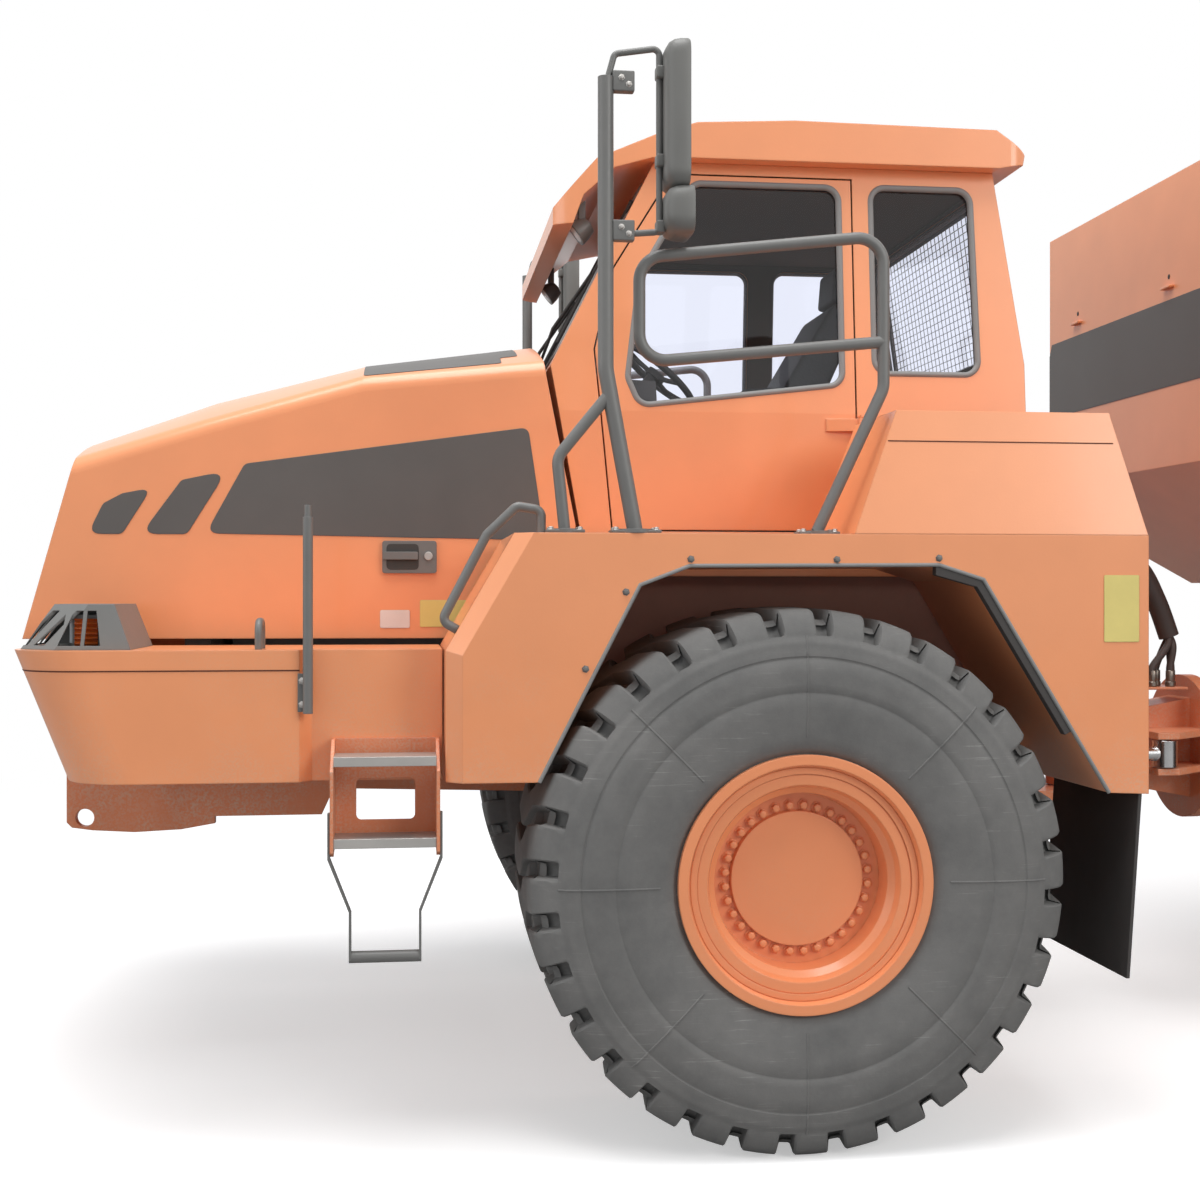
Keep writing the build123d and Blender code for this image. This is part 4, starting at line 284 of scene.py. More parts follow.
# ------------------------------------------------------------------ glazing
# Flat panes of toughened float glass with a barely blue tint, held in grey rubber seals.  They are clear seen
# square on, and mirror the sky more the flatter one looks along them.
glass, tree = empty_material("toughened_glass")
clear = add_node(tree, "ShaderNodeBsdfTransparent", None, {"Color": linear("FAFBFF")})
shine = add_node(tree, "ShaderNodeBsdfGlossy", None, {"Roughness": 0.02, "Color": (1, 1, 1, 1)})
edge_on = add_node(tree, "ShaderNodeFresnel", None, {"IOR": 1.45}).outputs[0]
# only the face that light enters by reflects
entering = add_node(tree, "ShaderNodeMath", {"operation": "SUBTRACT"},
                    {0: 1.0, 1: add_node(tree, "ShaderNodeNewGeometry").outputs["Backfacing"]}).outputs[0]
edge_on = add_node(tree, "ShaderNodeMath", {"operation": "MULTIPLY"}, {0: edge_on, 1: entering}).outputs[0]
glazed = add_node(tree, "ShaderNodeMixShader", None, {0: edge_on, 1: clear.outputs[0], 2: shine.outputs[0]})
add_node(tree, "ShaderNodeOutputMaterial", None, {"Surface": glazed.outputs[0]})
finish_nodes(glass, "side_glass", "door_glass", "windscreen", "rear_glass")

# ------------------------------------------------------------------ tyres
# Wide-base earthmover tyres of black rubber, grey with dust.  Two rows of heavy blocks wrap over the
# shoulders, offset by half a pitch, and meet in shallower blocks along the middle of the tread.
LUGS = 32
LUG_DEPTH = 0.052
TREAD_HALF = 0.372
# distance from the middle plane, radius, and how deep the grooves are cut there, from crown to bead
TYRE_PROFILE = [
    (0.000, 0.9370, 0.45), (0.060, 0.9368, 0.45), (0.090, 0.9366, 0.50), (0.110, 0.9364, 0.95),
    (0.160, 0.9360, 1.0), (0.220, 0.9352, 1.0), (0.280, 0.9342, 1.0), (0.335, 0.9325, 1.0),
    (0.358, 0.9290, 1.0), (0.372, 0.9200, 1.0), (0.386, 0.9020, 1.0), (0.398, 0.8800, 1.0),
    (0.406, 0.8600, 0.9), (0.409, 0.8480, 0.5), (0.410, 0.8420, 0.0), (0.413, 0.8340, 0.0),
    (0.418, 0.8250, 0.0), (0.4225, 0.8150, 0.0), (0.4225, 0.8080, 0.0), (0.4275, 0.7900, 0.0),
    (0.4290, 0.7730, 0.0), (0.4262, 0.7690, 0.0), (0.4262, 0.7650, 0.0), (0.4300, 0.7600, 0.0),
    (0.4335, 0.7200, 0.0), (0.4345, 0.6800, 0.0), (0.4342, 0.6560, 0.0), (0.4315, 0.6520, 0.0),
    (0.4315, 0.6480, 0.0), (0.4335, 0.6440, 0.0), (0.4325, 0.6000, 0.0), (0.4280, 0.5500, 0.0),
    (0.4220, 0.5000, 0.0), (0.4140, 0.4600, 0.0), (0.3980, 0.4420, 0.0),
]
# across one pitch: share of the pitch, and depth of the groove there
LUG_STEPS = [(0.00, 0.0), (0.05, 0.0), (0.20, 0.0), (0.36, 0.0), (0.52, 0.0), (0.60, 0.0), (0.64, 0.12),
             (0.67, 0.92), (0.70, 1.0), (0.86, 1.0), (0.93, 0.92), (0.97, 0.12)]
BEAD_SEAT = (0.398, 0.376)


def mesh_of(name, vertices, faces):
    """A mesh from its points and faces."""
    mesh = bpy.data.meshes.new(name)
    mesh.from_pydata(vertices, [], faces)
    return mesh


def tyre_mesh(name, outward):
    """One tyre about its own centre, with its axle along Y; outward is the side, -1 or 1, it faces."""
    rows = [(-y, r, d) for y, r, d in reversed(TYRE_PROFILE[1:])] + TYRE_PROFILE
    inner = [(-BEAD_SEAT[0], BEAD_SEAT[1]), BEAD_SEAT]
    columns = LUGS * len(LUG_STEPS)
    vertices, faces = [], []
    for y, radius, depth in rows:
        # the blocks sweep back from the middle, and the two rows are half a pitch apart
        blend = max(-1.0, min(1.0, y / 0.10))
        stagger = 0.25 * blend + 0.30 * abs(y) / TREAD_HALF if abs(y) < 0.41 else 0.25 * blend + 0.30
        for lug in range(LUGS):
            for share, cut in LUG_STEPS:
                angle = 2 * math.pi * (lug + share + stagger) / LUGS
                drop = cut * depth * LUG_DEPTH
                if abs(y) > 0.36:
                    inset, lower = drop * 0.85, drop * 0.45
                else:
                    inset, lower = 0.0, drop
                r = radius - lower
                vertices.append((r * math.sin(angle), outward * (y - math.copysign(inset, y)),
                                 r * math.cos(angle)))
    for y, radius in inner:
        for column in range(columns):
            angle = 2 * math.pi * column / columns
            vertices.append((radius * math.sin(angle), outward * y, radius * math.cos(angle)))
    rings = len(rows)
    order = list(range(rings)) + [rings + 1, rings]
    for a, b in zip(order, order[1:] + order[:1]):
        for column in range(columns):
            nxt = (column + 1) % columns
            quad = (a * columns + column, a * columns + nxt, b * columns + nxt, b * columns + column)
            faces.append(quad if outward > 0 else quad[::-1])
    mesh = mesh_of(name, vertices, faces)
    mesh.update()
    return mesh


def new_piece(name, shape, material, body, smooth_angle=None):
    """A piece of a mesh or a curve in its material, riding on a body.
    Edges sharper than smooth_angle stay sharp, and without it the piece is flat-shaded."""
    piece = bpy.data.objects.new(name, shape)
    bpy.context.scene.collection.objects.link(piece)
    shape.materials.clear()
    shape.materials.append(material)
    if smooth_angle is not None:
        shape.shade_smooth()
        shape.set_sharp_from_angle(angle=math.radians(smooth_angle))
    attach(piece, body)
    return piece


# tread rubber scatters nearly all light; dust pales it in clouds, and stones leave pale scuffs
tyre_rubber, tree = empty_material("dusty_tyre_rubber")
place = add_node(tree, "ShaderNodeTexCoord").outputs["Object"]
clouds = add_node(tree, "ShaderNodeTexNoise", None,
                  {"Vector": place, "Scale": 3.0, "Detail": 8.0, "Roughness": 0.7}).outputs["Fac"]
# scuffs: noise stretched into streaks about 100 mm long and 3 mm wide, in two directions
streaks = []
for angle in (0.6, 2.1):
    turned = add_node(tree, "ShaderNodeMapping", None,
                      {"Vector": place, "Rotation": (0, angle, 0), "Scale": (5, 5, 130)})
    noise = add_node(tree, "ShaderNodeTexNoise", None,
                     {"Vector": turned.outputs[0], "Scale": 1.3, "Detail": 3.0}).outputs["Fac"]
    streaks.append(add_node(tree, "ShaderNodeMapRange", None,
                            {"Value": noise, "From Min": 0.64, "From Max": 0.76}).outputs["Result"])
scuffs = add_node(tree, "ShaderNodeMath", {"operation": "MAXIMUM"}, {0: streaks[0], 1: streaks[1]}).outputs[0]
patches = add_node(tree, "ShaderNodeMapRange", None,
                   {"Value": clouds, "From Min": 0.48, "From Max": 0.66}).outputs["Result"]
scuffs = add_node(tree, "ShaderNodeMath", {"operation": "MULTIPLY"}, {0: scuffs, 1: patches}).outputs[0]
dust = add_node(tree, "ShaderNodeMapRange", None,
                {"Value": clouds, "From Min": 0.3, "From Max": 0.75}).outputs["Result"]
body = add_node(tree, "ShaderNodeMix", {"data_type": "RGBA"})
tree.links.new(dust, body.inputs["Factor"])
body.inputs["A"].default_value = linear("626261")
body.inputs["B"].default_value = linear("7B7A78")
worn = add_node(tree, "ShaderNodeMix", {"data_type": "RGBA"})
tree.links.new(scuffs, worn.inputs["Factor"])
tree.links.new(body.outputs["Result"], worn.inputs["A"])
worn.inputs["B"].default_value = linear("9A9A97")
grain = add_node(tree, "ShaderNodeTexNoise", None,
                 {"Vector": place, "Scale": 150.0, "Detail": 3.0}).outputs["Fac"]
bump = add_node(tree, "ShaderNodeBump", None,
                {"Height": grain, "Strength": 0.3, "Distance": 0.0015}).outputs[0]
surface = add_node(tree, "ShaderNodeBsdfPrincipled", None,
                   {"Base Color": worn.outputs["Result"], "Roughness": 0.78, "Normal": bump,
                    "Specular IOR Level": 0.35})
add_node(tree, "ShaderNodeOutputMaterial", None, {"Surface": surface.outputs[0]})

for node in [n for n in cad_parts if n.startswith("tyre_")]:
    low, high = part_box(node)
    side = 1 if low.y > 0 else -1
    tyre = new_piece("treaded_" + node, tyre_mesh(node, side), tyre_rubber, node.replace("tyre", "wheel"),
                     38)
    tyre.data.transform(Matrix.Translation((low + high) / 2))
    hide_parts(node)

# a thin mould line down the outer sidewall at every eighth of a turn
for node in [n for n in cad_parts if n.startswith("tyre_")]:
    low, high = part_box(node)
    middle = (low + high) / 2
    side = 1 if low.y > 0 else -1
    vertices, faces = [], []
    wall = [(y, r) for y, r, depth in TYRE_PROFILE if depth == 0.0 and r > 0.47]
    for eighth in range(8):
        turn = math.pi * eighth / 4
        first = len(vertices)
        for y, r in wall:
            for x, lift in ((-0.006, -0.003), (-0.002, 0.0025), (0.002, 0.0025), (0.006, -0.003)):
                vertices.append(middle + Vector((x * math.cos(turn) + r * math.sin(turn), side * (y + lift),
                                                 r * math.cos(turn) - x * math.sin(turn))))
        for row in range(len(wall) - 1):
            for column in range(3):
                a = first + row * 4 + column
                faces.append((a, a + 1, a + 5, a + 4) if side > 0 else (a, a + 4, a + 5, a + 1))
    new_piece("mould_lines_" + node, mesh_of("mould_lines_" + node, vertices, faces), tyre_rubber,
              node.replace("tyre", "wheel"), 60)

# ------------------------------------------------------------------ wheel nuts
# A ring of 32 domed hexagon nuts of forged steel holds each rim to its hub, deep in the dish.  They are
# enamelled together with the rim, and sit wherever its surface is.
surfaces = {name: BVHTree.FromPolygons([v.co for v in node.data.vertices],
                                       [p.vertices for p in node.data.polygons])
            for name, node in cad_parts.items()}


def bolts(name, places, outward, across, height, material, body):
    """Hexagon heads with domed tops on washers, one at each place, all facing outward; one piece."""
    outward = Vector(outward).normalized()
    first = outward.orthogonal().normalized()
    second = outward.cross(first)
    rings = [(0.0, 0.72), (0.16, 0.72), (0.18, 0.5), (0.75, 0.5), (0.93, 0.42), (1.0, 0.2)]
    vertices, faces = [], []
    for place in places:
        start = len(vertices)
        for along, radius in rings:
            for corner in range(6):
                angle = math.pi * corner / 3
                vertices.append(Vector(place) + outward * height * along
                                + (first * math.cos(angle) + second * math.sin(angle)) * across * radius)
        for ring in range(len(rings) - 1):
            for corner in range(6):
                a, b = start + ring * 6 + corner, start + ring * 6 + (corner + 1) % 6
                faces.append((a, b, b + 6, a + 6))
        faces.append(tuple(start + (len(rings) - 1) * 6 + corner for corner in range(6)))
    return new_piece(name, mesh_of(name, vertices, faces), material, body)


NUTS = 32
NUT_CIRCLE = 0.253
NUT_ACROSS, NUT_HEIGHT = 0.030, 0.022
for node in [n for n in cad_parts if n.startswith("rim_")]:
    low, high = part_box(node)
    middle = (low + high) / 2
    side = 1 if low.y > 0 else -1
    places = []
    for nut in range(NUTS):
        angle = 2 * math.pi * (nut + 0.5) / NUTS
        start = Vector((middle.x + NUT_CIRCLE * math.sin(angle), side * 2.2,
                        middle.z + NUT_CIRCLE * math.cos(angle)))
        places.append(surfaces[node].ray_cast(start, Vector((0, -side, 0)))[0])
    bolts("nuts_" + node, places, (0, side, 0), NUT_ACROSS, NUT_HEIGHT, enamel_rims,
          node.replace("rim", "wheel"))

# ------------------------------------------------------------------ film, plates and seams on the panels
# Dark grey film covers three shapes along each side of the hood, a panel on top of it and a band across the
# bed's front.  Warning plates are blank.  Each is laid on its CAD surface, a millimetre or two proud of it.
SIDES = (("left", -1), ("right", 1))
OUTSIDE = 2.0
AHEAD = -8.0
# vinyl film is smooth and half matt, and the printed plates shine like it; seams only show as a dark line
dark_film = moulded("dark_grey_vinyl_film", "585654", 0.5, 220.0, 0.0003)
seam_dark = moulded("shadowed_seam", "5A2A18", 0.8, 100.0, 0.0002)
white_plate = moulded("blank_white_plate", "E2D8D2", 0.5, 200.0, 0.0002)
yellow_plate = moulded("blank_yellow_plate", "DCCB7A", 0.5, 200.0, 0.0002)


def rounded_outline(points, radius, steps=6):
    """A closed outline in 2-D with each of its corners rounded."""
    outline = []
    count = len(points)
    for i in range(count):
        corner = Vector(points[i])
        back = Vector(points[i - 1]) - corner
        ahead = Vector(points[(i + 1) % count]) - corner
        half = back.angle(ahead) / 2
        reach = min(radius / math.tan(half), back.length * 0.45, ahead.length * 0.45)
        a, b = corner + back.normalized() * reach, corner + ahead.normalized() * reach
        for step in range(steps + 1):
            s = step / steps
            outline.append(a * (1 - s) ** 2 + corner * 2 * s * (1 - s) + b * s * s)
    return outline


def oblong(x_low, y_low, x_high, y_high):
    """The corners of a rectangle, in order round it."""
    return [(x_low, y_low), (x_high, y_low), (x_high, y_high), (x_low, y_high)]


def lay_on(name, nodes, outline, axis, start, material, body, lift=0.001, thickness=0.001, cell=0.06):
    """A skin of the outline's shape laid on CAD nodes.  The outline is given in the two axes other than axis,
    in x, y, z order, and dropped onto the surface along axis from the coordinate start."""
    direction = Vector([0, 0, 0])
    direction[axis] = -math.copysign(1, start)
    others = [i for i in range(3) if i != axis]
    points = [Vector(p) for p in outline]
    border = []
    for i, p in enumerate(points):
        q = points[(i + 1) % len(points)]
        pieces = max(1, int((q - p).length / cell))
        border += [p.lerp(q, k / pieces) for k in range(pieces)]
    edges = [(i, (i + 1) % len(border)) for i in range(len(border))]
    x_low, x_high = min(p.x for p in points), max(p.x for p in points)
    y_low, y_high = min(p.y for p in points), max(p.y for p in points)
    inner = [Vector((x_low + (i + 0.5) * cell, y_low + (j + 0.5) * cell))
             for i in range(int((x_high - x_low) / cell)) for j in range(int((y_high - y_low) / cell))]
    flat = mathutils.geometry.delaunay_2d_cdt(border + inner, edges, [], 1, 1e-6)
    vertices = []
    for p in flat[0]:
        source = Vector([0, 0, 0])
        source[axis] = start
        source[others[0]], source[others[1]] = p.x, p.y
        found = [surfaces[n].ray_cast(source, direction) for n in nodes]
        found = [f for f in found if f[0] is not None]
        nearest = min(found, key=lambda f: f[3]) if found else None
        vertices.append(nearest[0] + nearest[1] * lift if nearest else None)
    kept = [i for i, v in enumerate(vertices) if v]
    number = {i: k for k, i in enumerate(kept)}
    faces = [[number[i] for i in f] for f in flat[2] if all(i in number for i in f)]
    mesh = mesh_of(name, [vertices[i] for i in kept], faces)
    mesh.update()
    if sum(polygon.normal.dot(direction) * polygon.area for polygon in mesh.polygons) > 0:
        mesh.flip_normals()
    piece = new_piece(name, mesh, material, body)
    skin = piece.modifiers.new("skin", "SOLIDIFY")
    skin.thickness = thickness
    skin.offset = 1.0
    return piece


def at_axle(points):
    """Points given rearward of the front axle, in the row frame."""
    return [(FRONT_AXLE_X + p[0],) + tuple(p[1:]) for p in points]


LEAF = [(-2.526, 2.147), (-2.400, 2.147), (-2.290, 2.322), (-2.400, 2.300), (-2.470, 2.262)]
MIDDLE_SHAPE = [(-2.330, 2.147), (-2.160, 2.147), (-2.010, 2.388), (-2.180, 2.352)]
LONG_SHAPE = [(-2.090, 2.150), (-1.945, 2.415), (-0.872, 2.562), (-0.808, 2.128)]
SIDE_PLATES = (("white_plate_", (-1.437, 1.791, -1.324, 1.860), 0.008, white_plate),
               ("yellow_plate_", (-1.286, 1.795, -1.076, 1.898), 0.006, yellow_plate))
for side, sign in SIDES:
    for shape, outline in (("leaf", LEAF), ("middle", MIDDLE_SHAPE), ("long", LONG_SHAPE)):
        lay_on(f"hood_film_{shape}_{side}", ["hood"], rounded_outline(at_axle(outline), 0.032), 1,
               sign * OUTSIDE, dark_film, "hood")
    for name, corners, radius, colour in SIDE_PLATES:
        lay_on(name + side, ["hood"], rounded_outline(at_axle(oblong(*corners)), radius), 1, sign * OUTSIDE,
               colour, "hood")
    lay_on("fender_plate_" + side, ["fender_" + side],
           rounded_outline(at_axle(oblong(1.075, 1.752, 1.204, 1.986)), 0.006), 1, sign * OUTSIDE,
           yellow_plate, "front_unit")
    lay_on("cap_seam_" + side, ["side_box_" + side], at_axle(oblong(0.225, 2.4485, 1.225, 2.4525)), 1,
           sign * OUTSIDE, seam_dark, "front_unit", 0.0006, 0.0008, 0.03)
    lay_on("bumper_seam_" + side, ["bumper"], at_axle(oblong(-2.640, 1.6580, -1.700, 1.6625)), 1,
           sign * OUTSIDE, seam_dark, "front_unit", 0.0012, 0.0008, 0.02)
lay_on("bumper_seam_nose", ["bumper"], oblong(-1.35, 1.6580, 1.35, 1.6625), 0, AHEAD, seam_dark, "front_unit",
       0.0012, 0.0008, 0.02)
TOP_FILM = [(-1.50, -0.86), (-0.97, -0.86), (-0.97, -0.74), (-0.90, -0.74), (-0.90, 0.74), (-0.97, 0.74),
            (-0.97, 0.86), (-1.50, 0.86)]
lay_on("hood_top_film", ["hood"], rounded_outline(at_axle(TOP_FILM), 0.02), 2, 9.0, dark_film, "hood",
       cell=0.05)
lay_on("bed_band", ["bed"], oblong(-1.50, 2.86, 1.50, 3.25), 0, AHEAD, dark_film, "bed")

# ------------------------------------------------------------------ hood latches
# On each side a grey plate of cast zinc holds a pull bar over a recess, and a round key lock.  It is riveted
# on from inside, so that no fastener shows.  The recess is drawn as a thin dark patch.
recess_dark = moulded("shadowed_recess", "3A3937", 0.7, 100.0, 0.0003)
LATCH_PARTS = (("latch_plate_", (-1.428, 2.000, -1.222, 2.124), 0.012, powder_coat, 0.0, 0.016),
               ("latch_recess_", (-1.412, 2.014, -1.290, 2.112), 0.018, recess_dark, 0.0165, 0.0005),
               ("latch_bar_", (-1.425, 2.052, -1.292, 2.082), 0.006, powder_coat, 0.017, 0.012))
LOCK_RADIUS = 0.016
for side, sign in SIDES:
    for name, corners, radius, material, lift, thickness in LATCH_PARTS:
        lay_on(name + side, ["hood"], rounded_outline(at_axle(oblong(*corners)), radius), 1, sign * OUTSIDE,
               material, "hood", lift, thickness)
    lock = [(-1.253 + LOCK_RADIUS * math.cos(k * math.pi / 10),
             2.066 + LOCK_RADIUS * math.sin(k * math.pi / 10)) for k in range(20)]
    lay_on("latch_lock_" + side, ["hood"], at_axle(lock), 1, sign * OUTSIDE, tread_aluminium, "hood",
           0.016, 0.006)

# ------------------------------------------------------------------ window seals
# Every pane is held by an extruded bead of grey rubber, 26 mm across, pressed on all round its outline.  The
# rubber is paler than the panes and barely shines.
SEAL_RADIUS = 0.013
seal_rubber = moulded("grey_window_seal_rubber", "848483", 0.55, 200.0, 0.0003)


def tube(name, points, radius, material, body, closed=False, sides=3):
    """A round bead, bar or hose of the radius along the points; one piece."""
    data = bpy.data.curves.new(name, "CURVE")
    data.dimensions = "3D"
    data.bevel_depth = radius
    data.bevel_resolution = sides
    data.use_fill_caps = True
    line = data.splines.new("POLY")
    line.points.add(len(points) - 1)
    for target, p in zip(line.points, points):
        target.co = (*p, 1)
    line.use_cyclic_u = closed
    line.use_smooth = True
    return new_piece(name, data, material, body)


def panes(node):
    """For each pane in a glass node: its centre, its outward normal, two axes in its plane, and its outline
    as 2-D points along those axes."""
    mesh = bmesh.new()
    mesh.from_mesh(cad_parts[node].data)
    bmesh.ops.remove_doubles(mesh, verts=mesh.verts[:], dist=0.0002)
    cab_low, cab_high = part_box("cab_shell")
    cab_middle = (cab_low + cab_high) / 2
    found, seen_before = [], set()
    for seed in mesh.verts:
        if seed in seen_before:
            continue
        group, queue = {seed}, [seed]
        while queue:
            for edge in queue.pop().link_edges:
                for vertex in edge.verts:
                    if vertex not in group:
                        group.add(vertex)
                        queue.append(vertex)
        seen_before |= group
        group = sorted(group, key=lambda v: tuple(v.co))
        centre = sum((v.co for v in group), Vector()) / len(group)
        widest = max((f for v in group for f in v.link_faces), key=lambda f: f.calc_area())
        normal = widest.normal.copy()
        if normal.dot(centre - cab_middle) < 0:
            normal.negate()
        first = Vector((0, 0, 1)).cross(normal).normalized()
        second = normal.cross(first)
        flat = [((v.co - centre).dot(first), (v.co - centre).dot(second)) for v in group]
        hull = mathutils.geometry.convex_hull_2d(flat)
        found.append((centre, normal, first, second, [Vector(flat[i]) for i in hull]))
    mesh.free()
    return found


for node, body in (("side_glass", "front_unit"), ("door_glass", "door"), ("windscreen", "front_unit"),
                   ("rear_glass", "front_unit")):
    for number, (centre, normal, first, second, outline) in enumerate(panes(node)):
        loop = [centre + normal * SEAL_RADIUS + first * p.x + second * p.y for p in outline]
        tube(f"seal_{node}_{number}", loop, SEAL_RADIUS, seal_rubber, body, True)

# ------------------------------------------------------------------ rear window guard
# A welded mesh of wires, 2.6 mm thick, in a frame of bent tube that stands off the rear pane.  It keeps
# spilled rock from the glass, and its dull black coating is given the finish of the black rubber.
WIRE_HALF = 0.0013
WIRE_PITCH_ACROSS, WIRE_PITCH_UP = 0.050, 0.031
GUARD_INSET, GUARD_STAND_OFF, GUARD_TUBE = 0.01, 0.040, 0.011
centre, normal, first, second, outline = panes("rear_glass")[0]
half_width = max(p.x for p in outline) - GUARD_INSET
half_height = max(p.y for p in outline) - GUARD_INSET
plane = centre + normal * GUARD_STAND_OFF
vertices, faces = [], []
rows, columns = int(half_height / WIRE_PITCH_UP), int(half_width / WIRE_PITCH_ACROSS)
wires = [((-half_width, k * WIRE_PITCH_UP), (half_width, k * WIRE_PITCH_UP)) for k in range(-rows, rows + 1)]
wires += [((k * WIRE_PITCH_ACROSS, -half_height), (k * WIRE_PITCH_ACROSS, half_height))
          for k in range(-columns, columns + 1)]
for (ax, ay), (bx, by) in wires:
    start = len(vertices)
    sideways = second if ay == by else first
    for px, py in ((ax, ay), (bx, by)):
        for dx, dn in oblong(-WIRE_HALF, -WIRE_HALF, WIRE_HALF, WIRE_HALF):
            vertices.append(plane + first * px + second * py + sideways * dx + normal * dn)
    faces += [(start + k, start + (k + 1) % 4, start + 4 + (k + 1) % 4, start + 4 + k) for k in range(4)]
new_piece("rear_guard_mesh", mesh_of("rear_guard_mesh", vertices, faces), black_rubber, "front_unit")
frame_loop = [plane + first * x * half_width + second * y * half_height for x, y in oblong(-1, -1, 1, 1)]
tube("rear_guard_frame", frame_loop, GUARD_TUBE, powder_coat, "front_unit", True)

# ------------------------------------------------------------------ wipers
# Two arms of pressed steel on the raked windscreen, each with a long rubber blade, turn on spindles through
# the panel under the pane.  The arms' dull black paint is given the finish of the blades' rubber.
centre, normal, first, second, outline = panes("windscreen")[0]
bottom = min(p.y for p in outline)


def on_screen(x, y, lift):
    """The place x across and y up the windscreen from the middle of its foot, lifted off the pane."""
    return centre + normal * lift + first * x + second * (bottom + y)


for number, across in enumerate((-0.36, 0.30)):
    arm = [on_screen(across, 0.02, 0.02), on_screen(across, 0.02, 0.05), on_screen(across + 0.10, 0.16, 0.07),
           on_screen(across + 0.30, 0.40, 0.034)]
    blade = [on_screen(across + 0.10, 0.12, 0.026), on_screen(across + 0.30, 0.40, 0.026),
             on_screen(across + 0.50, 0.68, 0.026)]
    tube(f"wiper_arm_{number}", arm, 0.008, black_rubber, "front_unit")
    tube(f"wiper_blade_{number}", blade, 0.009, black_rubber, "front_unit")

# ------------------------------------------------------------------ fender trim
# A grey rubber bead edges each wheel arch, a black strip of rubber stands in its rear shoulder, and hexagon
# bolts hold the liner along the arch.
ARCH = [(-0.900, 1.290), (-0.700, 1.680), (-0.560, 1.950), (-0.390, 2.015), (0.480, 2.020), (0.640, 1.970),
        (1.095, 1.226)]
ARCH_FACE_Y = 1.738
LINER_BOLTS = [(-0.387, 2.037), (0.119, 2.037), (0.480, 2.043), (-0.608, 1.926), (-0.745, 1.668)]
SHOULDER_STRIP = [(0.470, 2.018), (0.640, 1.966), (0.960, 1.443), (0.935, 1.430), (0.618, 1.944),
                  (0.470, 1.985)]


def prism(name, near, far, material):
    """A straight-sided piece of the cab unit between two equal outlines."""
    count = len(near)
    sides = [(k, (k + 1) % count, count + (k + 1) % count, count + k) for k in range(count)]
    mesh = mesh_of(name, near + far, [tuple(range(count)), tuple(range(count, 2 * count))] + sides)
    return new_piece(name, mesh, material, "front_unit")


for side, sign in SIDES:
    tube("arch_bead_" + side, [(FRONT_AXLE_X + x, sign * ARCH_FACE_Y, z) for x, z in ARCH], 0.007,
         seal_rubber, "front_unit")
    inner, outer = ([(FRONT_AXLE_X + x, sign * y, z) for x, z in SHOULDER_STRIP] for y in (1.700, 1.737))
    prism("arch_strip_" + side, inner, outer, black_rubber)
    bolts("liner_bolts_" + side, [(FRONT_AXLE_X + x, sign * 1.740, z) for x, z in LINER_BOLTS], (0, sign, 0),
          0.018, 0.009, powder_coat, "front_unit")

# ------------------------------------------------------------------ inner arch walls
# A pressed steel panel closes each wheel arch on the cab's side, from the arch's crown to below the cab's
# floor.  Its paint is a dull dark brown, which is painted shade of the arch's inside.
arch_shade = moulded("arch_wall_paint_with_painted_shade", "B08373", 0.7, 120.0, 0.0006)
INNER_WALL = [(-0.840, 1.400), (-0.700, 1.680), (-0.560, 1.950), (-0.390, 2.110), (0.760, 2.110),
              (1.150, 1.780), (1.200, 1.400)]
for side, sign in SIDES:
    inner, outer = ([(FRONT_AXLE_X + x, sign * y, z) for x, z in INNER_WALL] for y in (0.912, 0.920))
    prism("arch_wall_" + side, inner, outer, arch_shade)

# ------------------------------------------------------------------ foot plates and clamps of the rails
# Rails and posts stand on oblong plates bolted through the deck at each corner; the mirror arms and the width
# marker are held by bolted clamps.
DECK_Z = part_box("fender_left")[1].z


def slab(name, low, high, radius, material, body):
    """A machined plate or block between two corners, its edges rounded off."""
    mesh = bpy.data.meshes.new(name)
    shape = bmesh.new()
    bmesh.ops.create_cube(shape, size=1)
    size = Vector(high) - Vector(low)
    for vertex in shape.verts:
        vertex.co = Vector(low) + Vector([(c + 0.5) * s for c, s in zip(vertex.co, size)])
    bmesh.ops.bevel(shape, geom=shape.edges[:], offset=radius, segments=3, profile=0.6, affect="EDGES")
    shape.to_mesh(mesh)
    shape.free()
    return new_piece(name, mesh, material, body, 35)


MIRROR_Y = 1.685
FOOT_TOP = DECK_Z + 0.011
FEET = ((0.080, 1.620, 0.072), (-0.570, 1.685, 0.085), (-0.810, 1.685, 0.065))
for side, sign in SIDES:
    corners = []
    for number, (x, y, half) in enumerate(FEET):
        x += FRONT_AXLE_X
        slab(f"foot_plate_{number}_{side}", (x - half, sign * y - 0.045, DECK_Z + 0.0005),
             (x + half, sign * y + 0.045, FOOT_TOP), 0.003, powder_coat, "front_unit")
        corners += [(x + dx * (half - 0.016), sign * y + dy, FOOT_TOP)
                    for dx in (-1, 1) for dy in (-0.030, 0.030)]
    bolts("foot_bolts_" + side, corners, (0, 0, 1), 0.019, 0.010, tread_aluminium, "front_unit")
    clamp_bolts = []
    for number, z in enumerate((3.150, 3.655)):
        x = FRONT_AXLE_X - 0.648
        slab(f"mirror_clamp_{number}_{side}", (x, sign * MIRROR_Y - 0.020, z - 0.035),
             (x + 0.075, sign * MIRROR_Y + 0.020, z + 0.035), 0.006, powder_coat, "front_unit")
        clamp_bolts += [(x + dx, sign * 1.705, z + dz) for dx, dz in ((0.030, 0.010), (0.055, -0.012))]
    bolts("mirror_clamp_bolts_" + side, clamp_bolts, (0, sign, 0), 0.016, 0.008, tread_aluminium,
          "front_unit")
marker_bolts = [(FRONT_AXLE_X - 1.690, -1.5585, z) for z in (1.545, 1.625)]
bolts("marker_bolts", marker_bolts, (0, -1, 0), 0.018, 0.010, tread_aluminium, "front_unit")

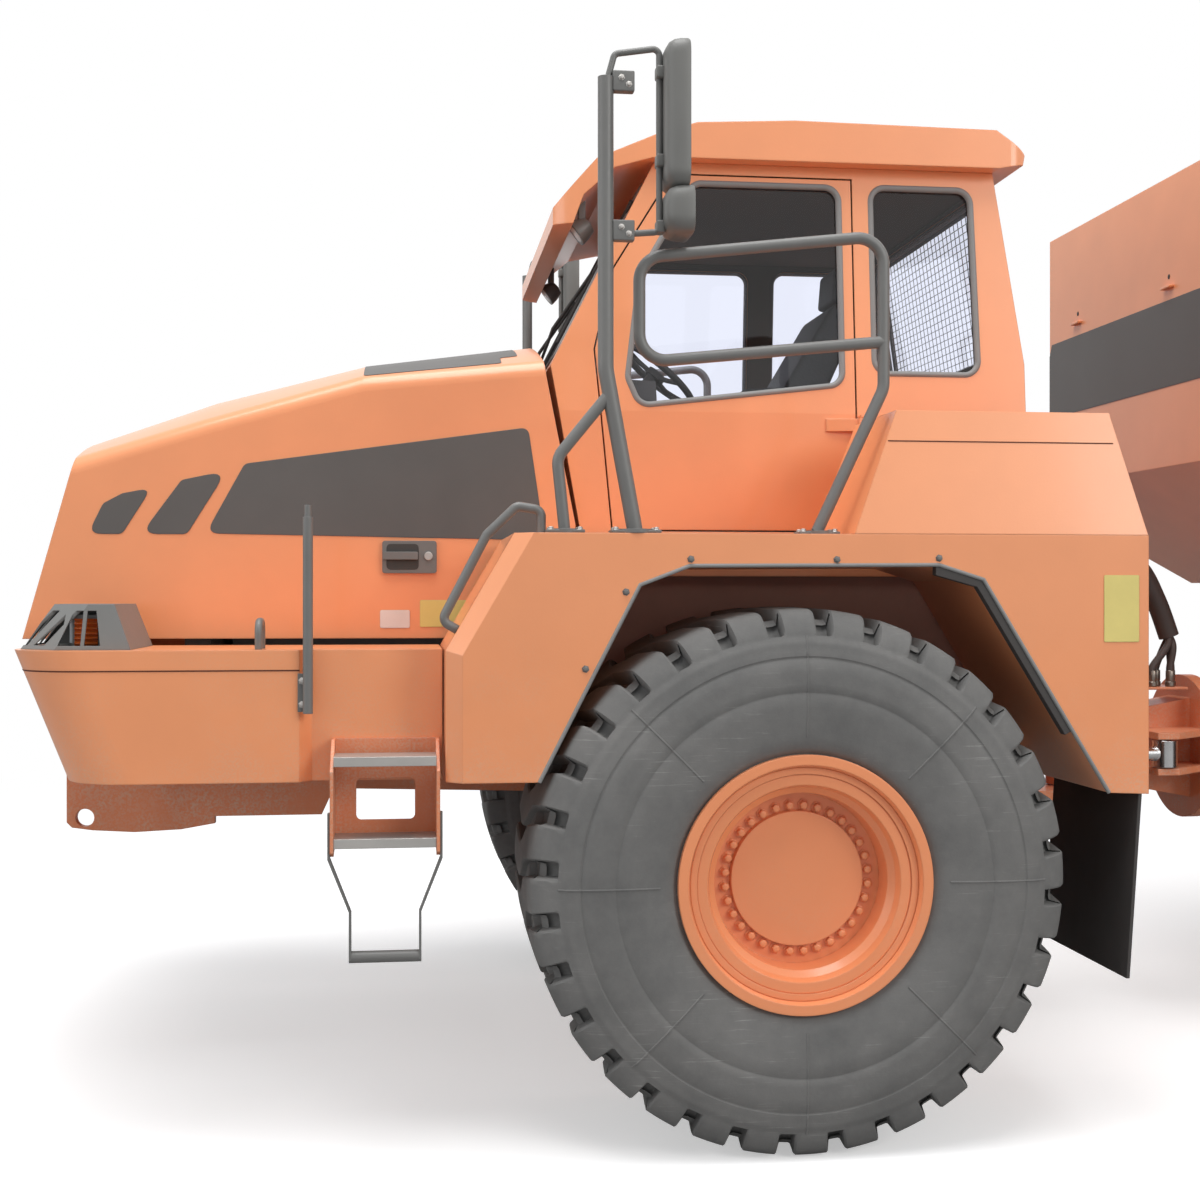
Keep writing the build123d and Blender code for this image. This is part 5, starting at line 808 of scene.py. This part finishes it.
# ------------------------------------------------------------------ mirrors
# On each post a tall and a small mirror: a domed moulded shell with a rolled rim, and a flat silvered glass
# that faces rearwards.  The tall one hangs from its tube in two moulded clamps, and the small one in one.
# silvering behind flat glass mirrors sharply and evenly
silvered_glass = moulded("silvered_mirror_glass", "D5D8DA", 0.06, 200.0, 0.0, None, 1.0)
SHELL_RINGS = [(0.00, 0.60), (0.05, 0.76), (0.16, 0.89), (0.36, 0.965), (0.62, 0.995), (0.93, 1.00),
               (1.00, 0.975), (1.00, 0.93), (0.95, 0.915)]
SHELL_HALF_WIDTH, SHELL_CORNER = 0.110, 0.055
MIRROR_HEADS = (("tall", 3.540, 0.080, 0.500, (-0.30, 0.30)), ("small", 3.215, 0.095, 0.165, (-0.30,)))
for side, sign in SIDES:
    for head, middle_z, depth, height, grips in MIRROR_HEADS:
        front = FRONT_AXLE_X - 0.475
        outline = rounded_outline(oblong(-SHELL_HALF_WIDTH, -height / 2, SHELL_HALF_WIDTH, height / 2),
                                  SHELL_CORNER, 7)
        vertices, faces = [], []
        for along, share in SHELL_RINGS:
            trim = (1 - share) * SHELL_HALF_WIDTH
            for p in outline:
                # each ring is drawn in by the same trim on all sides, and less near the middle lines
                drawn_y, drawn_z = (math.copysign(trim, c) * min(1, abs(c) / 0.05) for c in p)
                vertices.append((front + depth * along, sign * MIRROR_Y + p.x - drawn_y,
                                 middle_z + p.y - drawn_z))
        count = len(outline)
        last = (len(SHELL_RINGS) - 1) * count
        for ring in range(len(SHELL_RINGS) - 1):
            for k in range(count):
                a, b = ring * count + k, ring * count + (k + 1) % count
                faces.append((a, a + count, b + count, b))
        faces.append(tuple(range(count)))
        name = f"mirror_shell_{head}_{side}"
        new_piece(name, mesh_of(name, vertices, faces), mirror_plastic, "front_unit",
                                50)
        name = f"mirror_glass_{head}_{side}"
        new_piece(name, mesh_of(name, vertices[last:], [tuple(range(count))]), silvered_glass, "front_unit")
        for number, share in enumerate(grips):
            z = middle_z + height * share
            slab(f"mirror_grip_{head}_{number}_{side}", (front - 0.024, sign * MIRROR_Y - 0.026, z - 0.022),
                 (front + 0.006, sign * MIRROR_Y + 0.026, z + 0.022), 0.009, mirror_plastic, "front_unit")
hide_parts("mirrors")

# ------------------------------------------------------------------ cab lining
# The cab's walls, roof and floor are covered inside with dark trim of pressed felt and plastic, 3 mm thick
# and glued on.  It soaks up nearly all light.
LINING_THICKNESS = 0.003
LINED_HALF_WIDTH = 0.905
lining = moulded("dark_cab_lining", "4A4038", 0.85, 60.0, 0.0001)
cab_low, cab_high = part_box("cab_shell")
cab_middle = (cab_low + cab_high) / 2
for node, body in (("cab_shell", "front_unit"), ("door", "door")):
    vertices, faces = [], []
    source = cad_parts[node].data
    for polygon in source.polygons:
        towards = (cab_middle - polygon.center).normalized()
        if polygon.normal.dot(towards) > 0.12 and abs(polygon.center.y) < LINED_HALF_WIDTH:
            first = len(vertices)
            vertices += [source.vertices[i].co + polygon.normal * LINING_THICKNESS for i in polygon.vertices]
            faces.append(tuple(range(first, len(vertices))))
    new_piece("lining_" + node, mesh_of("lining_" + node, vertices, faces), lining, body)

# ------------------------------------------------------------------ seat
# A suspension seat: a bellows base, a stuffed cushion, a tall stuffed back and a headrest, in dark embossed
# vinyl over foam.  The base is bolted to the cab's floor.


def soft_block(name, outline, half_width, radius, material, body):
    """A stuffed or moulded block: a side outline, in x rearward of the axle and z, with a width and soft
    edges."""
    mesh = bpy.data.meshes.new(name)
    shape = bmesh.new()
    near = [shape.verts.new((FRONT_AXLE_X + x, -half_width, z)) for x, z in outline]
    far = [shape.verts.new((FRONT_AXLE_X + x, half_width, z)) for x, z in outline]
    shape.faces.new(near)
    shape.faces.new(far[::-1])
    for k in range(len(outline)):
        shape.faces.new((near[k], far[k], far[(k + 1) % len(outline)], near[(k + 1) % len(outline)]))
    bmesh.ops.recalc_face_normals(shape, faces=shape.faces[:])
    bmesh.ops.bevel(shape, geom=shape.edges[:], offset=radius, segments=4, profile=0.6, affect="EDGES")
    shape.to_mesh(mesh)
    shape.free()
    return new_piece(name, mesh, material, body, 60)


# embossed vinyl shines a little on the crowns of its grain, which is drawn 13 mm across
seat_vinyl = moulded("embossed_seat_vinyl", "3C3C3A", 0.62, 75.0, 0.0030)
CUSHION = [(0.065, 2.650), (0.065, 2.760), (0.120, 2.815), (0.300, 2.825), (0.420, 2.700), (0.400, 2.640)]
BACK = [(0.292, 2.815), (0.512, 3.185), (0.565, 3.207), (0.640, 3.165), (0.600, 3.050), (0.435, 2.690)]
HEADREST = [(0.545, 3.225), (0.556, 3.370), (0.592, 3.395), (0.640, 3.370), (0.622, 3.210)]
BASE = [(0.152, 2.037), (0.190, 2.635), (0.480, 2.635), (0.518, 2.037)]
cushion = soft_block("seat_cushion", CUSHION, 0.258, 0.030, seat_vinyl, "front_unit")
back = soft_block("seat_back", BACK, 0.255, 0.030, seat_vinyl, "front_unit")
rest = soft_block("seat_headrest", HEADREST, 0.128, 0.018, seat_vinyl, "front_unit")
soft_block("seat_base", BASE, 0.198, 0.020, black_rubber, "front_unit")
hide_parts("seat")

# ------------------------------------------------------------------ steering wheel
# A rim of moulded polyurethane over steel on three spokes, with a round boss.  It turns on a raked column
# that comes up through the dashboard.
RIM_RADIUS, SPOKE_END = 0.198, 0.195
wheel_middle = Vector((FRONT_AXLE_X - 0.223, 0, 2.905))
tilt = Vector((0.641, 0, 0.768))
across, along = Vector((0, 1, 0)), Vector((0.768, 0, -0.641))
loop = [wheel_middle + (across * math.cos(k * math.pi / 24) + along * math.sin(k * math.pi / 24)) * RIM_RADIUS
        for k in range(48)]
wheel_rim = tube("steering_rim", loop, 0.0155, cab_plastic, "front_unit", True, 4)
for number, turn in enumerate((30, 150, 270)):
    way = across * math.cos(math.radians(turn)) + along * math.sin(math.radians(turn))
    spoke = [wheel_middle - tilt * 0.012, wheel_middle + way * 0.10 - tilt * 0.010,
             wheel_middle + way * SPOKE_END]
    tube(f"steering_spoke_{number}", spoke, 0.011, cab_plastic, "front_unit")
tube("steering_boss", [wheel_middle - tilt * 0.024, wheel_middle + tilt * 0.006], 0.046, cab_plastic,
     "front_unit", sides=8)
tube("steering_column", [wheel_middle - tilt * 0.400, wheel_middle - tilt * 0.020], 0.033, cab_plastic,
     "front_unit", sides=8)
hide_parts("steering_wheel")

# ------------------------------------------------------------------ lamps
# Behind each guard's slats sit a clear headlight block and a ribbed amber indicator; two work lights hang
# under the visor.
# acrylic is clear and glossy; the indicator's ribs break its shine into lines
amber = moulded("amber_acrylic_lens", "B4531A", 0.25, 200.0, 0.0002)
clear_lens = moulded("clear_acrylic_lens", "D9DEE2", 0.12, 200.0, 0.0)
RIBS, RIB_PITCH, RIB_DEPTH = 12, 0.0085, 0.012
LENS_FOOT_Z = 1.742
for side, sign in SIDES:
    profile = [(sign * (1.421 + RIB_DEPTH * (k % 2)), LENS_FOOT_Z + k * RIB_PITCH) for k in range(RIBS)]
    profile += [(sign * 1.418, LENS_FOOT_Z + (RIBS - 1) * RIB_PITCH), (sign * 1.418, LENS_FOOT_Z)]
    near, far = ([(FRONT_AXLE_X + x, y, z) for y, z in profile] for x in (-2.462, -2.385))
    prism("indicator_" + side, near, far, amber)
    slab("headlight_lens_" + side, (FRONT_AXLE_X - 2.486, min(sign * 1.09, sign * 1.39), 1.750),
         (FRONT_AXLE_X - 2.470, max(sign * 1.09, sign * 1.39), 1.842), 0.006, clear_lens, "front_unit")


def lathe(name, centre, axis, profile, material, body, turns=28):
    """A turned piece: profile lists (distance along the axis, radius)."""
    axis = Vector(axis).normalized()
    first = axis.orthogonal().normalized()
    second = axis.cross(first)
    spokes = [first * math.cos(2 * math.pi * k / turns) + second * math.sin(2 * math.pi * k / turns)
              for k in range(turns)]
    vertices = [Vector(centre) + axis * s + spoke * r for s, r in profile for spoke in spokes]
    faces = [(row * turns + k, row * turns + (k + 1) % turns, (row + 1) * turns + (k + 1) % turns,
              (row + 1) * turns + k) for row in range(len(profile) - 1) for k in range(turns)]
    faces += [tuple(range(turns))[::-1], tuple((len(profile) - 1) * turns + k for k in range(turns))]
    return new_piece(name, mesh_of(name, vertices, faces), material, body, 40)


LIGHT_BOWL = [(-0.045, 0.020), (-0.040, 0.034), (-0.010, 0.046), (0.020, 0.052), (0.026, 0.052),
              (0.026, 0.047)]
LIGHT_LENS = [(0.018, 0.046), (0.024, 0.044), (0.028, 0.030)]
aim = Vector((-0.80, 0, -0.60))
for number, y in enumerate((-0.66, 0.66)):
    middle = Vector((FRONT_AXLE_X - 0.640, y, 3.385))
    lathe(f"work_light_{number}", middle, aim, LIGHT_BOWL, powder_coat, "front_unit")
    lathe(f"work_light_lens_{number}", middle, aim, LIGHT_LENS, clear_lens, "front_unit")
    slab(f"work_light_bracket_{number}", middle + Vector((-0.010, -0.018, 0.030)),
         middle + Vector((0.018, 0.018, 0.125)), 0.003, powder_coat, "front_unit")

# ------------------------------------------------------------------ lips on the bed's front wall
# Two small steel lips are welded on above the dark band, each under a drilled hole, where a sheet or guard
# would hang.  They are enamelled with the bed.
HOLE_RADIUS = 0.011
for number, (y, z) in enumerate(((-0.221, 3.300), (0.754, 3.305))):
    slab(f"bed_lip_{number}", (FRONT_AXLE_X + 2.058, y - 0.045, z),
         (FRONT_AXLE_X + 2.081, y + 0.045, z + 0.012), 0.003, enamel_panels, "bed")
    hole = [(y + HOLE_RADIUS * math.cos(k * math.pi / 8), z + 0.055 + HOLE_RADIUS * math.sin(k * math.pi / 8))
            for k in range(16)]
    lay_on(f"bed_hole_{number}", ["bed"], hole, 0, AHEAD, recess_dark, "bed", 0.0005, 0.0005)

# ------------------------------------------------------------------ hoses over the steering hitch
# A sleeve as thick as an arm comes down from the cab's rear and parts into four hydraulic hoses, whose
# swaged ends stand on a plate over the frame's upper ear.
# the hoses' rubber is dusty and nearly matt, and zinc plating dulls to a soft grey shine
hose_rubber = moulded("brown_black_hose_rubber", "4A3F3B", 0.55, 300.0, 0.0006)
zinc_fitting = moulded("zinc_plated_fitting", "8A8178", 0.35, 300.0, 0.0003, None, 0.8)


def flowing(points, steps=8):
    """A smooth run through the points."""
    line = []
    ends = [points[0]] + list(points) + [points[-1]]
    for a, b, c, d in zip(ends, ends[1:], ends[2:], ends[3:]):
        a, b, c, d = Vector(a), Vector(b), Vector(c), Vector(d)
        for k in range(steps):
            s = k / steps
            line.append(0.5 * (2 * b + (c - a) * s + (2 * a - 5 * b + 4 * c - d) * s ** 2
                               + (3 * b - a - 3 * c + d) * s ** 3))
    return line + [Vector(points[-1])]


SLEEVE = [(1.150, -0.420, 1.900), (1.450, -0.300, 2.060), (1.800, -0.150, 2.120), (1.985, -0.100, 2.050),
          (2.075, -0.100, 1.900), (2.140, -0.100, 1.730)]
FITTING = [(0.000, 0.016), (0.004, 0.021), (0.022, 0.021), (0.026, 0.017), (0.030, 0.019), (0.072, 0.019),
           (0.076, 0.0165)]
tube("hose_sleeve", flowing(at_axle(SLEEVE)), 0.046, hose_rubber, "front_unit", sides=6)
for number, (x, y) in enumerate(((2.045, -0.130), (2.090, -0.075), (2.130, -0.130), (2.165, -0.070))):
    hose = [(2.130 + 0.020 * (number % 2), -0.118 + 0.034 * (number // 2), 1.760),
            (2.138 + 0.012 * (number - 1.5), y, 1.690), (x, y, 1.590), (x, y, 1.545)]
    tube(f"hitch_hose_{number}", flowing(at_axle(hose)), 0.0165, hose_rubber, "front_unit")
    lathe(f"hitch_fitting_{number}", (FRONT_AXLE_X + x, y, 1.500), (0, 0, 1), FITTING, zinc_fitting,
          "front_unit")
slab("hitch_hose_plate", (FRONT_AXLE_X + 1.790, -0.175, 1.489), (FRONT_AXLE_X + 2.195, 0.060, 1.501), 0.004,
     enamel_frame, "front_unit")
